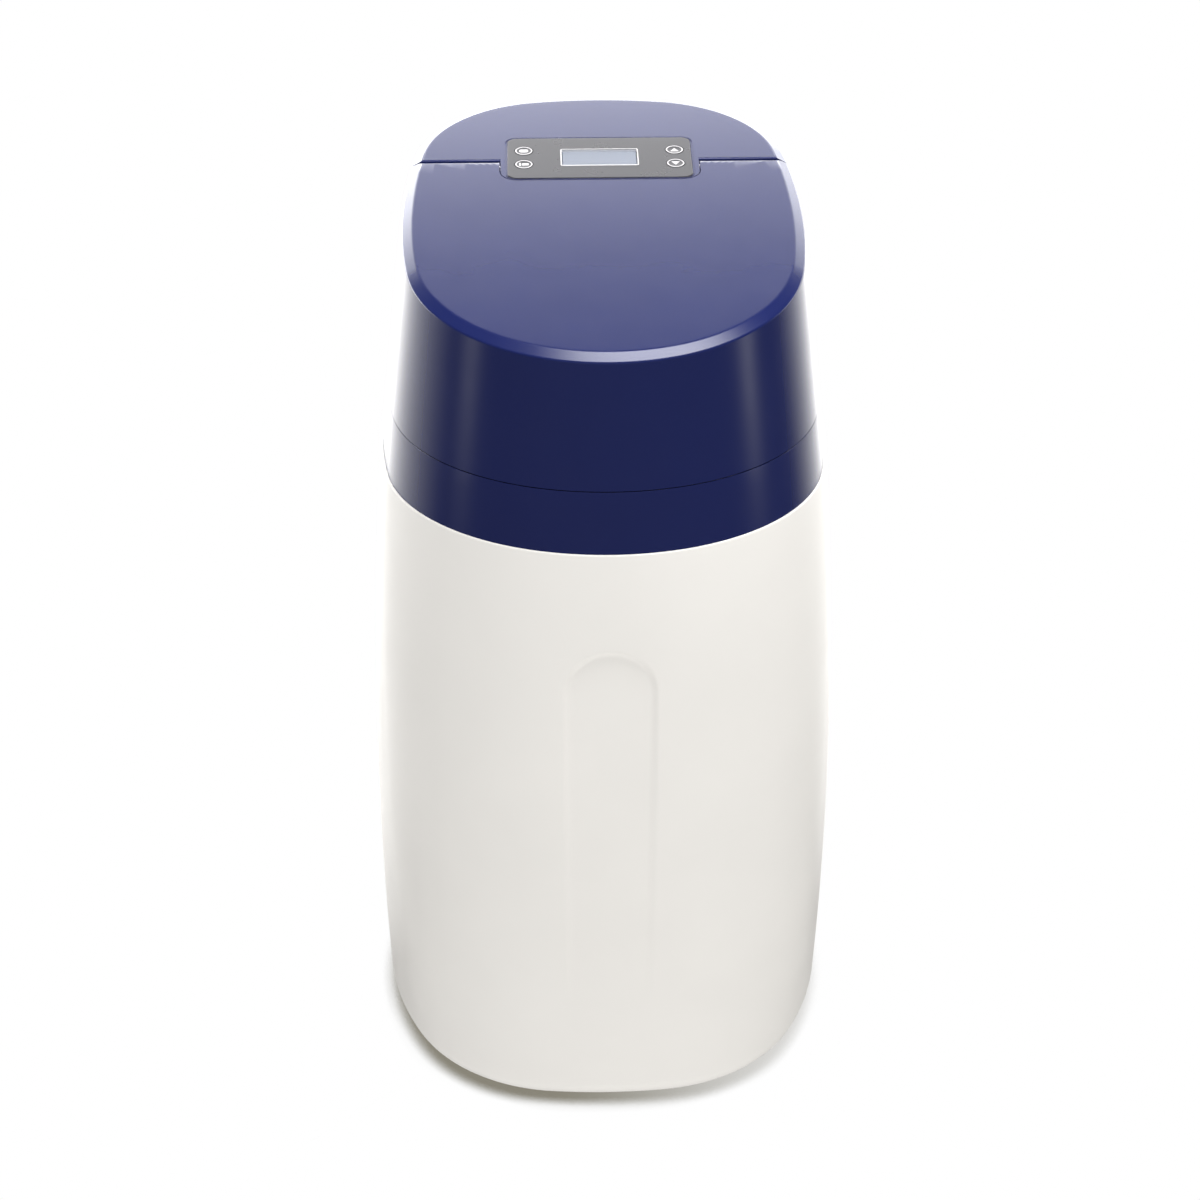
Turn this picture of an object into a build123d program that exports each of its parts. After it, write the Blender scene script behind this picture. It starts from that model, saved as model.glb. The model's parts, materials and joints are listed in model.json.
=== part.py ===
from build123d import *
import os
from math import acos, atan, cos, degrees, hypot, pi, radians, sin, sqrt

os.makedirs("parts", exist_ok=True)

# A compact cabinet water softener. Millimetres, +Z up, front towards -Y.
# The origin is on the floor, on the line where the cabinet is widest.

# Clearances shared by the whole part
overrun = 2.0
seat_gap = 0.3
run_gap = 0.05
seam_gap = 0.6
slide_gap = 0.35

# White cabinet: plan at the rim
rim_height = 439.0
rim_half_width = 147.3
rim_front = 196.1
rim_rear = 183.6
rim_front_run = 3.0
rim_rear_run = 29.5
rim_bows = (4.1, 0.42, 4.2, 2.4)
corner_room = 2.9

# White cabinet: plan at the floor, before its lower edge is rounded
foot_half_width = 153.41
foot_front = 166.81
foot_rear = 175.55
foot_front_run = 26.41
foot_rear_run = 31.41
foot_bows = (12.0, 1.5, 12.0, 2.4)

# White cabinet: where its sides, front and rear swell most
belly_half_width = 158.2
belly_height = 175.0
belly_front = 200.8
belly_front_height = 320.0
belly_rear = 185.8
belly_rear_height = 300.0
cabinet_wall = 4.5
foot_round = 20.0
cabinet_layers = 6

# Arched recess pressed into the front and the sides of the cabinet
arch_half_width = 28.0
arch_top = 372.0
arch_foot = 104.0
arch_depth = 2.4
arch_foot_depth = 0.5
recess_cutter = 40.0

# Blue top: collar, salt lid and rear cover share one taper
lip_width = 1.2
collar_top = 479.2
top_draft = 0.1165
top_level = 590.8
top_slope = 0.141
top_sag_radius = 8620.0
bevel_inset = 6.4
bevel_drop = 3.6
top_limit = 640.0
shell_wall = 3.0
lid_wall = 2.6

# Collar
collar_ledge = 3.0
spigot_depth = 12.0
spigot_wall = 3.0
spigot_gap = 0.6
spigot_layers = 2

# Joint between the salt lid and the rear cover, and the hinge in it
seam_y = 66.0
notch_half_width = 66.0
notch_front = 38.0
notch_corner = 12.0
hinge_bead = 3.6
hinge_pin_radius = 1.5
hinge_pin_in_lid = 12.0
hinge_pin_in_cover = 6.0
bead_end = 108.0
lid_opening = 100.0

# Display panel and keys, on the slope of the top
panel_y = 68.5
panel_width = 122.0
panel_depth = 57.0
panel_corner = 6.0
panel_thickness = 1.6
panel_proud = 0.3
deck_thickness = 3.4
screen_y = 69.0
screen_width = 52.0
screen_depth = 24.4
screen_border = 1.5
lens_thickness = 1.3
key_x = 50.2
key_rows_y = (59.4, 78.6)
key_radius = 6.0
key_flange_radius = 6.7
key_flange = 0.9
key_stem_radius = 2.2
key_travel = 0.6
key_proud = 0.15
tongue_skirt = 14.0
tongue_wall = 2.2

# Electronics tray under the panel
tray_half_width = 58.6
tray_depth = 53.0
tray_height = 15.0
tray_wall = 1.6
board_thickness = 1.6
board_level = 9.4
switch_side = 6.0
switch_height = 3.4
display_height = 4.6

# Rear cover: port window and power socket
window_half_width = 88.0
window_top = 527.0
window_cutter_start = 104.0
socket_level = 548.0
socket_pad_radius = 11.0
socket_pad_proud = 2.6
socket_bore = 2.85
socket_body = 6.0
socket_flange = 8.5
socket_flange_thickness = 1.8
socket_length = 20.0
socket_bore_depth = 10.0

# Screws that hold the rear cover to the collar
cover_screw_y = 77.0
cover_screw_level = 465.0
cover_screw_radius = 1.9
cover_screw_head = 3.8
cover_screw_head_height = 1.8
cover_screw_sink = 1.2
cover_tab_width = 18.0
cover_tab_thickness = 4.0
cover_tab_root = 14.0

# Pressure vessel
vessel_y = 66.0
vessel_radius = 102.0
vessel_wall = 3.0
vessel_bottom = 10.0
vessel_dome = 50.0
vessel_knuckle = 36.0
vessel_top = 428.0
neck_radius = 38.0
neck_bore = 31.0
neck_top = 444.0
boot_radius = 88.0
boot_wall = 5.0
boot_height = 50.0
resin_top = 300.0

# Riser tube and its strainers
riser_radius = 13.3
riser_wall = 1.8
riser_bottom = 24.0
strainer_radius = 24.0
strainer_height = 44.0
strainer_wall = 2.0
strainer_slot = 2.4
strainer_slot_count = 12
top_strainer_radius = 28.0
top_strainer_bottom = 398.0

# Control valve
adapter_flange_radius = 44.0
adapter_flange = 8.0
adapter_wall = 1.9
adapter_spigot = 14.0
seal_radius = 1.6
seal_seat_radius = 34.5
valve_radius = 36.0
valve_base = 8.0
valve_flange_radius = 41.0
valve_flange = 10.0
valve_top = 526.0
chamber_radius = 30.0
chamber_depth = 18.0
disc_thickness = 5.0
rotor_radius = 27.0
rotor_thickness = 5.5
disc_port_radius = 4.5
disc_port_ring = 16.0
disc_port_count = 3
disc_port_angle = 90.0
port_x = 30.0
port_level = 502.0
port_radius = 16.0
port_bore = 10.0
barrel_end = 150.0
drain_barrel_radius = 10.0
drain_barrel_end = -60.0
drain_bore = 4.5
cap_radius = 12.0
cap_length = 9.0
cap_wall = 2.0
cap_groove = 1.6
cap_groove_count = 12
bonnet_thickness = 5.0
bonnet_screw_ring = 36.5
bonnet_screw_radius = 2.0
bonnet_screw_head = 3.6
bonnet_screw_count = 4
bonnet_screw_angle = 45.0

# Ports at the rear
thread_radius = 13.2
thread_pitch_depth = 0.8
thread_length = 18.0
connector_length = 50.0
nut_across = 38.0
nut_grip = 10.0
nut_shoulder = 4.0
connector_flange = 4.0
turbine_radius = 8.6
turbine_hub = 2.4
turbine_length = 8.0
turbine_blade_count = 6
turbine_blade = 1.0
turbine_shaft = 0.8
holder_radius = 11.0
holder_ring = 1.6
holder_arm = 2.0
holder_disc = 2.4
hose_barb_radius = 6.4
hose_bore = 4.3
barb_length = 22.0
barb_rise = 0.9
barb_ridge_count = 3
drain_reach = 194.0
drain_x = -76.0

# Drive train
drive_plate = 2.6
gear_module = 1.5
gear_width = 6.0
main_tooth_count = 40
idler_tooth_count = 20
pinion_tooth_count = 12
pinion_bearing = 81.0
tooth_root_share = 0.62
tooth_tip_share = 0.25
tooth_addendum_share = 0.9
tooth_dedendum_share = 1.25
main_gear_hole_count = 6
main_gear_hole_radius = 5.0
spindle_radius = 6.0
spindle_flange_radius = 14.0
idler_post_radius = 3.0
motor_shaft_radius = 1.5
motor_radius = 18.0
motor_height = 20.0
motor_ear_reach = 24.0
motor_ear_thickness = 1.6
motor_ear_half_width = 6.0
motor_cap_radius = 9.0
housing_wall = 2.0
gear_air = 1.4
drive_lug_radius = 7.2

# Brine well and what stands in it
well_to_side = 71.7
well_to_front = 124.3
well_radius = 41.0
well_wall = 2.5
well_top = 425.0
well_slot_width = 5.0
well_slot_height = 45.0
well_slot_count = 6
well_cap = 6.0
well_cap_lip = 8.0
brine_body_radius = 18.0
brine_body_top = 420.0
brine_body_bottom = 392.0
brine_stub_radius = 7.4
brine_stub_top = 440.0
brine_wall = 2.0
brine_socket = 14.0
pickup_radius = 6.0
pickup_wall = 1.6
pickup_bottom = 46.0
stop_radius = 10.0
stop_height = 5.0
float_radius = 24.0
float_height = 38.0
float_bottom = 210.0
float_travel = 60.0
float_round = 5.0
cage_radius = 16.0
cage_wall = 2.2
cage_floor = 14.0
cage_window_height = 20.0
cage_window_count = 4
ball_radius = 9.0
ball_seat_radius = 6.0
ball_travel = 7.0

# Brine line, from the valve to the well
line_radius = 4.75
line_bore = 3.0
line_level = 489.0
line_bends = (26.0, 24.0)
line_socket = 6.0
fitting_radius = 8.0
fitting_length = 16.0

# Overflow elbow on the rear wall
overflow_level = 412.0
overflow_drop = 26.0
overflow_reach = 17.0
overflow_flange = 13.0
overflow_flange_thickness = 3.0
overflow_spigot = 8.0
overflow_bore = 5.0
overflow_nut_radius = 13.0
overflow_nut_thickness = 7.0
overflow_spigot_end = 2.0
overflow_ridge = 5.5
gasket_thickness = 2.0
gasket_margin = 1.0

# Deck that steadies the vessel and keeps salt off the valve
deck_front = -40.0
deck_sheet = 3.0
deck_lip = 11.0
deck_hole_clearance = 2.0


def blend(low, high, z):
    """A value that goes straight from the floor to the rim."""
    return low + (high - low) * z / rim_height


def swell(foot, belly, rim, belly_level, z):
    """How far the cabinet reaches at a height, on one parabola up from its belly and one down."""
    end, far = (foot, belly_level) if z < belly_level else (rim, rim_height - belly_level)
    share = (z - belly_level) / far
    return belly - (belly - end) * share * share


def quarter(reach_x, reach_y, corner, bow_x, bow_y):
    """Points of one quarter outline: side, corner and end arcs that meet smoothly."""
    corner = min(corner, reach_x - bow_x - corner_room, reach_y - bow_y - corner_room)
    cx = reach_x - bow_x - corner
    cy = reach_y - bow_y - corner
    d = corner + bow_x
    side = (d * d + cy * cy - corner * corner) / (2 * (d - corner))
    e = corner + bow_y
    end = (e * e + cx * cx - corner * corner) / (2 * (e - corner))
    sx = reach_x - side
    ey = reach_y - end
    side_norm = hypot(cx - sx, cy)
    end_norm = hypot(cx, cy - ey)
    ux, uy = (cx - sx) / side_norm, cy / side_norm
    vx, vy = cx / end_norm, (cy - ey) / end_norm
    mid_norm = hypot(ux + vx, uy + vy)
    half_turn = acos(ux) / 2
    return {
        "side_start": (reach_x, 0),
        "side_mid": (sx + side * cos(half_turn), side * sin(half_turn)),
        "side_end": (cx + corner * ux, cy + corner * uy),
        "corner_mid": (cx + corner * (ux + vx) / mid_norm, cy + corner * (uy + vy) / mid_norm),
        "corner_end": (cx + corner * vx, cy + corner * vy),
        "end_mid": (0, reach_y),
        "side_radius": side,
    }


def outline(half_width, front, rear, front_corner, rear_corner, bows, z):
    """A closed plan outline of ten arcs at one height."""
    fore = quarter(half_width, front, front_corner, bows[0], bows[1])
    aft = quarter(half_width, rear, rear_corner, bows[2], bows[3])
    fore_run = ["end_mid", "corner_end", "corner_mid", "side_end", "side_mid", "side_start"]
    aft_run = ["side_mid", "side_end", "corner_mid", "corner_end", "end_mid"]
    right = [Vector(fore[key][0], -fore[key][1], z) for key in fore_run]
    right += [Vector(aft[key][0], aft[key][1], z) for key in aft_run]
    left = [Vector(-point.X, point.Y, z) for point in right[1:-1]]
    points = right + left[::-1]
    starts = points[1::2]
    middles = points[2::2] + points[:1]
    ends = starts[1:] + starts[:1]
    return Wire([Edge.make_three_point_arc(*run) for run in zip(starts, middles, ends)])


def cabinet_outline(z, inset=0):
    """Plan of the white cabinet at a height, drawn in by an inset."""
    bows = [blend(low, high, z) for low, high in zip(foot_bows, rim_bows)]
    return outline(
        swell(foot_half_width, belly_half_width, rim_half_width, belly_height, z) - inset,
        swell(foot_front, belly_front, rim_front, belly_front_height, z) - inset,
        swell(foot_rear, belly_rear, rim_rear, belly_rear_height, z) - inset,
        blend(foot_front_corner, rim_front_corner, z) - inset,
        blend(foot_rear_corner, rim_rear_corner, z) - inset,
        bows,
        z,
    )


def top_outline(z, inset=0):
    """Plan of the blue top at a height, drawn in by its taper and an inset."""
    draw = lip_width + top_draft * (z - rim_height) + inset
    return outline(rim_half_width - draw, rim_front - draw, rim_rear - draw,
                   rim_front_corner - draw, rim_rear_corner - draw, rim_bows, z)


def heights(low, high, layers):
    """Evenly spaced heights for a loft."""
    return [low + (high - low) * step / layers for step in range(layers + 1)]


def cabinet_form(low, high, inset, layers=cabinet_layers):
    """The cabinet's outer shape between two heights, drawn in by an inset."""
    return Solid.make_loft([cabinet_outline(z, inset) for z in heights(low, high, layers)])


def top_form(low, high, inset=0):
    """The tapered shape of the blue top between two heights."""
    return Solid.make_loft([top_outline(low, inset), top_outline(high, inset)], ruled=True)


def top_z(y):
    """Height of the sloping top surface at a depth."""
    return top_level + top_slope * y - y * y / (2 * top_sag_radius)


def block(x0, x1, y0, y1, z0, z1):
    """A box between three pairs of limits."""
    return Pos((x0 + x1) / 2, (y0 + y1) / 2, (z0 + z1) / 2) * Box(
        abs(x1 - x0), abs(y1 - y0), abs(z1 - z0))


def drum(radius, z0, z1, x=0, y=0):
    """An upright cylinder between two heights."""
    return Pos(x, y, (z0 + z1) / 2) * Cylinder(radius, abs(z1 - z0))


def ring(radius, bore, z0, z1, x=0, y=0):
    """An upright tube between two heights."""
    return drum(radius, z0, z1, x, y) - drum(bore, z0 - overrun, z1 + overrun, x, y)


def rod_y(radius, y0, y1, x=0, z=0):
    """A cylinder along Y."""
    return Pos(x, (y0 + y1) / 2, z) * Rot(90, 0, 0) * Cylinder(radius, abs(y1 - y0))


def pipe_y(radius, bore, y0, y1, x=0, z=0):
    """A tube along Y."""
    return rod_y(radius, y0, y1, x, z) - rod_y(bore, y0 - overrun, y1 + overrun, x, z)


def rod_x(radius, x0, x1, y=0, z=0):
    """A cylinder along X."""
    return Pos((x0 + x1) / 2, y, z) * Rot(0, 90, 0) * Cylinder(radius, abs(x1 - x0))


def joined(pieces):
    """The union of a list of shapes."""
    whole = pieces[0]
    for piece in pieces[1:]:
        whole = whole + piece
    return whole


def around(count, start=0):
    """Evenly spaced bearings round a circle, in radians."""
    return [radians(start) + 2 * pi * step / count for step in range(count)]


# Places worked out from the sizes above
lid_low = collar_top + seam_gap / 2
hinge_y = seam_y - seam_gap / 2 - hinge_bead
hinge_z = top_z(hinge_y) - hinge_bead
slope_angle = degrees(atan(top_slope - panel_y / top_sag_radius))
panel_plane = Plane(origin=(0, panel_y, top_z(panel_y)), x_dir=(1, 0, 0),
                    z_dir=(0, -sin(radians(slope_angle)), cos(radians(slope_angle))))
adapter_top = neck_top + seat_gap + adapter_flange
port_reach = barrel_end + connector_length
valve_low = adapter_top
chamber_low = valve_top - chamber_depth
rotor_low = chamber_low + disc_thickness
bonnet_top = valve_top + bonnet_thickness
plate_top = bonnet_top + drive_plate
gear_low = plate_top + gear_air
gear_high = gear_low + gear_width
housing_top = gear_high + gear_air + housing_wall
main_radius = gear_module * main_tooth_count / 2
idler_radius = gear_module * idler_tooth_count / 2
pinion_radius = gear_module * pinion_tooth_count / 2
idler_x = main_radius + idler_radius
pinion_x = idler_x + (idler_radius + pinion_radius) * cos(radians(pinion_bearing))
pinion_y = vessel_y + (idler_radius + pinion_radius) * sin(radians(pinion_bearing))
foot_front_corner = foot_half_width - foot_bows[0] - foot_front_run
foot_rear_corner = foot_half_width - foot_bows[2] - foot_rear_run
rim_front_corner = rim_half_width - rim_bows[0] - rim_front_run
rim_rear_corner = rim_half_width - rim_bows[2] - rim_rear_run
well_floor = cabinet_wall
well_x = -(belly_half_width - cabinet_wall - well_to_side)
well_y = -(belly_front - cabinet_wall - well_to_front)
injector_y = vessel_y - valve_radius / 2
drain_y = injector_y
screen_slot = (screen_y - panel_y) / cos(radians(slope_angle))


def slope_block(x0, x1, y0, y1, z0, z1):
    """A box in the slope of the panel, with places measured from the panel's centre."""
    return panel_plane * block(x0, x1, y0, y1, z0, z1)


def slope_plate(width, depth, corner, z0, z1, y=0):
    """A plate with round corners in the slope of the panel."""
    sketch = Pos(0, y, z0) * RectangleRounded(width, depth, corner)
    return panel_plane * extrude(sketch, z1 - z0, dir=(0, 0, 1))


def slope_drum(radius, z0, z1, x, y):
    """A round piece square to the slope of the panel."""
    return panel_plane * drum(radius, z0, z1, x, y)


def key_places():
    """Name, place across and place up the slope for each key."""
    names = ("key_menu", "key_regen", "key_up", "key_down")
    rows = (key_rows_y[1], key_rows_y[0])
    places = []
    for index, name in enumerate(names):
        side = -1 if index < 2 else 1
        places.append((name, side * key_x, (rows[index % 2] - panel_y) / cos(radians(slope_angle))))
    return places


def arch_prism(reach, depth):
    """An upright arch that runs along -Y, from inside the cabinet to past its skin."""
    crown = arch_top - arch_half_width
    face = Face(Wire([
        Edge.make_line((-arch_half_width, 0, arch_foot), (arch_half_width, 0, arch_foot)),
        Edge.make_line((arch_half_width, 0, arch_foot), (arch_half_width, 0, crown)),
        Edge.make_three_point_arc((arch_half_width, 0, crown), (0, 0, arch_top),
                                  (-arch_half_width, 0, crown)),
        Edge.make_line((-arch_half_width, 0, crown), (-arch_half_width, 0, arch_foot)),
    ]))
    return Pos(0, -reach, 0) * extrude(face, depth, dir=(0, 1, 0))


def cabinet_tank():
    """White cabinet that holds the salt, open at the top."""
    outer = cabinet_form(0, rim_height, 0)
    outer = fillet(outer.faces().sort_by(Axis.Z)[0].edges(), foot_round)
    inner = cabinet_form(cabinet_wall, rim_height + overrun, cabinet_wall)
    inner = fillet(inner.faces().sort_by(Axis.Z)[0].edges(), foot_round - cabinet_wall)

    def sink(z):
        share = (z - arch_foot) / (arch_top - arch_foot)
        return arch_foot_depth + (arch_depth - arch_foot_depth) * share

    low = arch_foot - arch_half_width
    high = arch_top + arch_half_width
    floor = Solid.make_loft([cabinet_outline(z, sink(z)) for z in heights(low, high, cabinet_layers)])
    prisms = [arch_prism(belly_front + overrun, recess_cutter)]
    for turn in (90, -90):
        prisms.append(Rot(0, 0, turn) * arch_prism(belly_half_width + overrun, recess_cutter))
    body = outer - inner
    for prism in prisms:
        body = body - (prism - floor)
    wall_y = wall_y_at(overflow_level)
    return body - rod_y(overflow_spigot + seat_gap, wall_y - 2 * cabinet_wall, wall_y + overrun, 0,
                        overflow_level)


def collar():
    """Blue band on the cabinet's rim, with a ledge inside and a spigot down into the cabinet."""
    spigot_inset = cabinet_wall + spigot_gap
    band = top_form(rim_height, collar_top - seam_gap / 2)
    spigot = cabinet_form(rim_height - spigot_depth, rim_height + collar_ledge, spigot_inset,
                          spigot_layers)
    hollow = top_form(rim_height + collar_ledge, collar_top + overrun, shell_wall)
    throat = cabinet_form(rim_height - spigot_depth - overrun, rim_height + collar_ledge + overrun,
                          spigot_inset + spigot_wall, spigot_layers)
    body = band + spigot - hollow - throat
    body = body - rod_x(cover_screw_radius + slide_gap, -rim_half_width, rim_half_width, cover_screw_y,
                        cover_screw_level)
    sink = collar_side_x() - cover_screw_sink
    for side in (-1, 1):
        body = body - rod_x(cover_screw_head + slide_gap, side * sink, side * rim_half_width,
                            cover_screw_y, cover_screw_level)
    return body


def under_top(drop):
    """Everything below the sloping top surface, lowered by a drop."""
    reach = rim_front + overrun
    low = rim_height - overrun
    bottom = Edge.make_line((0, -reach, low), (0, reach, low))
    rise = Edge.make_line((0, reach, low), (0, reach, top_z(reach) - drop))
    crest = Edge.make_three_point_arc((0, reach, top_z(reach) - drop), (0, 0, top_level - drop),
                                      (0, -reach, top_z(-reach) - drop))
    fall = Edge.make_line((0, -reach, top_z(-reach) - drop), (0, -reach, low))
    face = Face(Wire([bottom, rise, crest, fall]))
    return Pos(-reach, 0, 0) * extrude(face, 2 * reach, dir=(1, 0, 0))


def top_shell():
    """Outer and inner shapes of the lid and cover together, with the bevel round the top."""
    solid = top_form(lid_low, top_limit) & under_top(0)
    crown = solid.faces().sort_by(Axis.Z)[-1]
    solid = chamfer(crown.edges(), bevel_inset, bevel_drop, reference=crown)
    hollow = top_form(lid_low - overrun, top_limit, lid_wall) & under_top(shell_wall)
    hollow = chamfer(hollow.faces().sort_by(Axis.Z)[-1].edges(), bevel_inset)
    return solid, hollow


def notch_form(gap, low, high):
    """The round-cornered notch in the lid that takes the panel's tongue, grown by a gap."""
    front = notch_front - gap
    depth = seam_y + overrun - front
    plate = Rectangle(notch_half_width + gap + notch_half_width + gap, depth)
    corners = plate.vertices().group_by(Axis.Y)[0]
    plate = fillet(corners, notch_corner + gap)
    return extrude(Pos(0, front + depth / 2, low) * plate, high - low, dir=(0, 0, 1))


def lid_side():
    """Everything that swings with the lid: in front of the seam, with a round upper rear edge."""
    reach = rim_front + overrun
    low = rim_height
    edge = hinge_y + hinge_bead
    lower = block(-reach, reach, -reach, edge, low, hinge_z)
    upper = block(-reach, reach, -reach, hinge_y, hinge_z - overrun, top_limit)
    return lower + upper + rod_x(hinge_bead, -reach, reach, hinge_y, hinge_z)


def salt_lid(solid, hollow):
    """Blue salt lid, hinged at its rear edge beside the panel."""
    shell = (solid - hollow) & lid_side()
    shell = shell - notch_form(seam_gap / 2, rim_height, top_limit)
    inner_x = notch_half_width + seam_gap / 2
    for side in (-1, 1):
        bead = rod_x(hinge_bead, side * inner_x, side * bead_end, hinge_y, hinge_z)
        shell = shell + (bead & solid)
        bore = rod_x(hinge_pin_radius + run_gap, side * (inner_x - overrun),
                     side * (inner_x + hinge_pin_in_lid + seat_gap), hinge_y, hinge_z)
        shell = shell - bore
    return shell


def rear_cover(solid, hollow):
    """Fixed blue cover over the valve, with a tongue that carries the panel and the hinge pins."""
    reach = rim_rear + overrun
    behind = block(-reach, reach, seam_y + seam_gap / 2, reach, rim_height, top_limit)
    shell = (solid - hollow) & behind
    tongue_low = top_z(notch_front) - tongue_skirt
    outer = notch_form(-seam_gap / 2, tongue_low, top_limit)
    core = notch_form(-seam_gap / 2 - tongue_wall, tongue_low - overrun, top_limit)
    core = core & under_top(deck_thickness)
    tongue = (outer & solid) - core
    deck = slope_plate(panel_width + panel_corner, panel_depth + panel_corner, panel_corner,
                       -deck_thickness, 0)
    pad = deck & solid & block(-reach, reach, seam_y, reach, rim_height, top_limit)
    body = shell + tongue + pad
    for side in (-1, 1):
        x_out = side * (notch_half_width - seam_gap / 2)
        boss = rod_x(hinge_bead - seam_gap / 2, x_out, x_out - side * hinge_pin_in_cover, hinge_y, hinge_z)
        bore = rod_x(hinge_pin_radius, x_out + side * overrun, x_out - side * hinge_pin_in_cover,
                     hinge_y, hinge_z)
        body = body + (boss & solid) - bore
    body = body - slope_plate(panel_width + seat_gap, panel_depth + seat_gap, panel_corner + seat_gap / 2,
                              -panel_thickness + panel_proud, shell_wall)
    body = body - slope_plate(screen_width, screen_depth, screen_border, -2 * deck_thickness, 0, screen_slot)
    for _, x, y in key_places():
        body = body - slope_drum(key_radius + slide_gap, -2 * deck_thickness, 0, x, y)
    body = body - block(-window_half_width, window_half_width, window_cutter_start, reach,
                        rim_height, window_top)
    socket_y = rim_rear - lip_width - top_draft * (socket_level - rim_height)
    pad_disc = rod_y(socket_pad_radius, socket_y - shell_wall, socket_y + socket_pad_proud - seat_gap,
                     0, socket_level)
    body = body + pad_disc
    body = body - rod_y(socket_body + run_gap, socket_y - 2 * shell_wall, reach, 0, socket_level)
    return body + cover_tabs()


def wall_patch(y0, y1, z0, z1, outer_inset, inner_inset):
    """Two curved strips, left and right, that follow the walls of the blue top."""
    low = z0 - overrun
    high = z1 + overrun
    strip = top_form(low, high, outer_inset) - top_form(low - overrun, high + overrun, inner_inset)
    reach = rim_half_width
    sides = [block(side * seam_y, side * reach, y0, y1, z0, z1) for side in (-1, 1)]
    return strip & (sides[0] + sides[1])


def cover_tabs():
    """Two tabs that reach down inside the collar's side walls and take the screws."""
    outer = shell_wall + seat_gap
    inner = outer + cover_tab_thickness
    y0 = cover_screw_y - cover_tab_width / 2
    y1 = cover_screw_y + cover_tab_width / 2
    low = cover_screw_level - cover_tab_width / 2
    tabs = wall_patch(y0, y1, low, lid_low + cover_tab_root, outer, inner)
    tabs = tabs + wall_patch(y0, y1, lid_low, lid_low + cover_tab_root, lid_wall / 2, inner)
    return tabs - rod_x(cover_screw_radius, -rim_half_width, rim_half_width, cover_screw_y,
                        cover_screw_level)


def collar_side_x():
    """How far the collar's outer side wall reaches at the cover screws."""
    draw = lip_width + top_draft * (cover_screw_level - rim_height)
    half_width = rim_half_width - draw
    plan = quarter(half_width, rim_rear - draw, rim_rear_corner - draw, rim_bows[2], rim_bows[3])
    side = plan["side_radius"]
    return half_width - side + sqrt(side * side - cover_screw_y * cover_screw_y)


def cover_screws():
    """Two screws through the collar's side walls into the cover's tabs."""
    wall = collar_side_x()
    head_start = wall - cover_screw_sink + run_gap
    screws = []
    for side in (-1, 1):
        shank = rod_x(cover_screw_radius - run_gap, side * (wall - 2 * shell_wall), side * head_start,
                      cover_screw_y, cover_screw_level)
        head = rod_x(cover_screw_head, side * head_start, side * (head_start + cover_screw_head_height),
                     cover_screw_y, cover_screw_level)
        screws.append(shank + head)
    return Compound(children=screws)


def hinge_pins():
    """Two steel pins, fixed in the cover's tongue and free in the lid."""
    pins = []
    for side in (-1, 1):
        x_in = side * (notch_half_width - seam_gap / 2 - hinge_pin_in_cover)
        x_out = side * (notch_half_width + seam_gap / 2 + hinge_pin_in_lid)
        pins.append(rod_x(hinge_pin_radius, x_in, x_out, hinge_y, hinge_z))
    return Compound(children=pins)


def display_panel():
    """Black panel over the display and round the keys."""
    plate = slope_plate(panel_width, panel_depth, panel_corner, -panel_thickness + panel_proud, panel_proud)
    plate = plate - slope_plate(screen_width, screen_depth, screen_border,
                                -2 * panel_thickness, panel_thickness, screen_slot)
    for _, x, y in key_places():
        plate = plate - slope_drum(key_radius + slide_gap, -2 * panel_thickness, panel_thickness, x, y)
    return plate


def lcd_frame():
    """White border round the display window."""
    low = -panel_thickness + panel_proud
    frame = slope_plate(screen_width, screen_depth, screen_border, low, panel_proud + key_proud, screen_slot)
    return frame - slope_plate(screen_width - 2 * screen_border, screen_depth - 2 * screen_border,
                               screen_border / 2, -2 * panel_thickness, panel_thickness, screen_slot)


def lcd_window():
    """Clear window inside the white border."""
    low = -panel_thickness + panel_proud
    return slope_plate(screen_width - 2 * screen_border, screen_depth - 2 * screen_border,
                       screen_border / 2, low, low + lens_thickness, screen_slot)


def lcd_module():
    """Display module on the board, under the window."""
    half_x = screen_width / 2 - screen_border
    half_y = screen_depth / 2 - screen_border
    low = -board_level
    high = -panel_thickness + panel_proud
    carrier_top = low + display_height
    carrier = slope_block(-half_x - screen_border, half_x + screen_border, screen_slot - half_y,
                          screen_slot + half_y, low, carrier_top)
    glass = slope_block(-half_x, half_x, screen_slot - half_y, screen_slot + half_y, low, high)
    return carrier + glass


def control_key(x, y):
    """One key: a cap level with the panel, a flange that keeps it in and a stem to its switch."""
    under = -deck_thickness - seat_gap
    cap = slope_drum(key_radius, under - key_flange, panel_proud + key_proud, x, y)
    flange = slope_drum(key_flange_radius, under - key_flange, under, x, y)
    stem_low = -board_level + switch_height + key_travel + seat_gap
    stem = slope_drum(key_stem_radius, stem_low, under, x, y)
    return cap + flange + stem


def tact_switches():
    """One small switch on the board under each key."""
    half = switch_side / 2
    low = -board_level
    switches = []
    for _, x, y in key_places():
        base = slope_block(x - half, x + half, y - half, y + half, low, low + switch_height - key_travel)
        button = slope_drum(half / 2, low, low + switch_height, x, y)
        switches.append(base + button)
    return Compound(children=switches)


def tray_limit(inset):
    """The space between the walls of the cover's tongue, drawn in by an inset, and what lies behind it."""
    tongue = notch_form(-seam_gap / 2 - tongue_wall - seat_gap - inset, rim_height, top_limit)
    return tongue + block(-tray_half_width, tray_half_width, seam_y, rim_rear, rim_height, top_limit)


def control_board():
    """Circuit board that carries the display and the switches."""
    half_x = tray_half_width - tray_wall - seat_gap
    half_y = tray_depth / 2 - tray_wall - seat_gap
    board = slope_block(-half_x, half_x, -half_y, half_y, -board_level - board_thickness, -board_level)
    return board & tray_limit(tray_wall + seat_gap)


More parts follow.
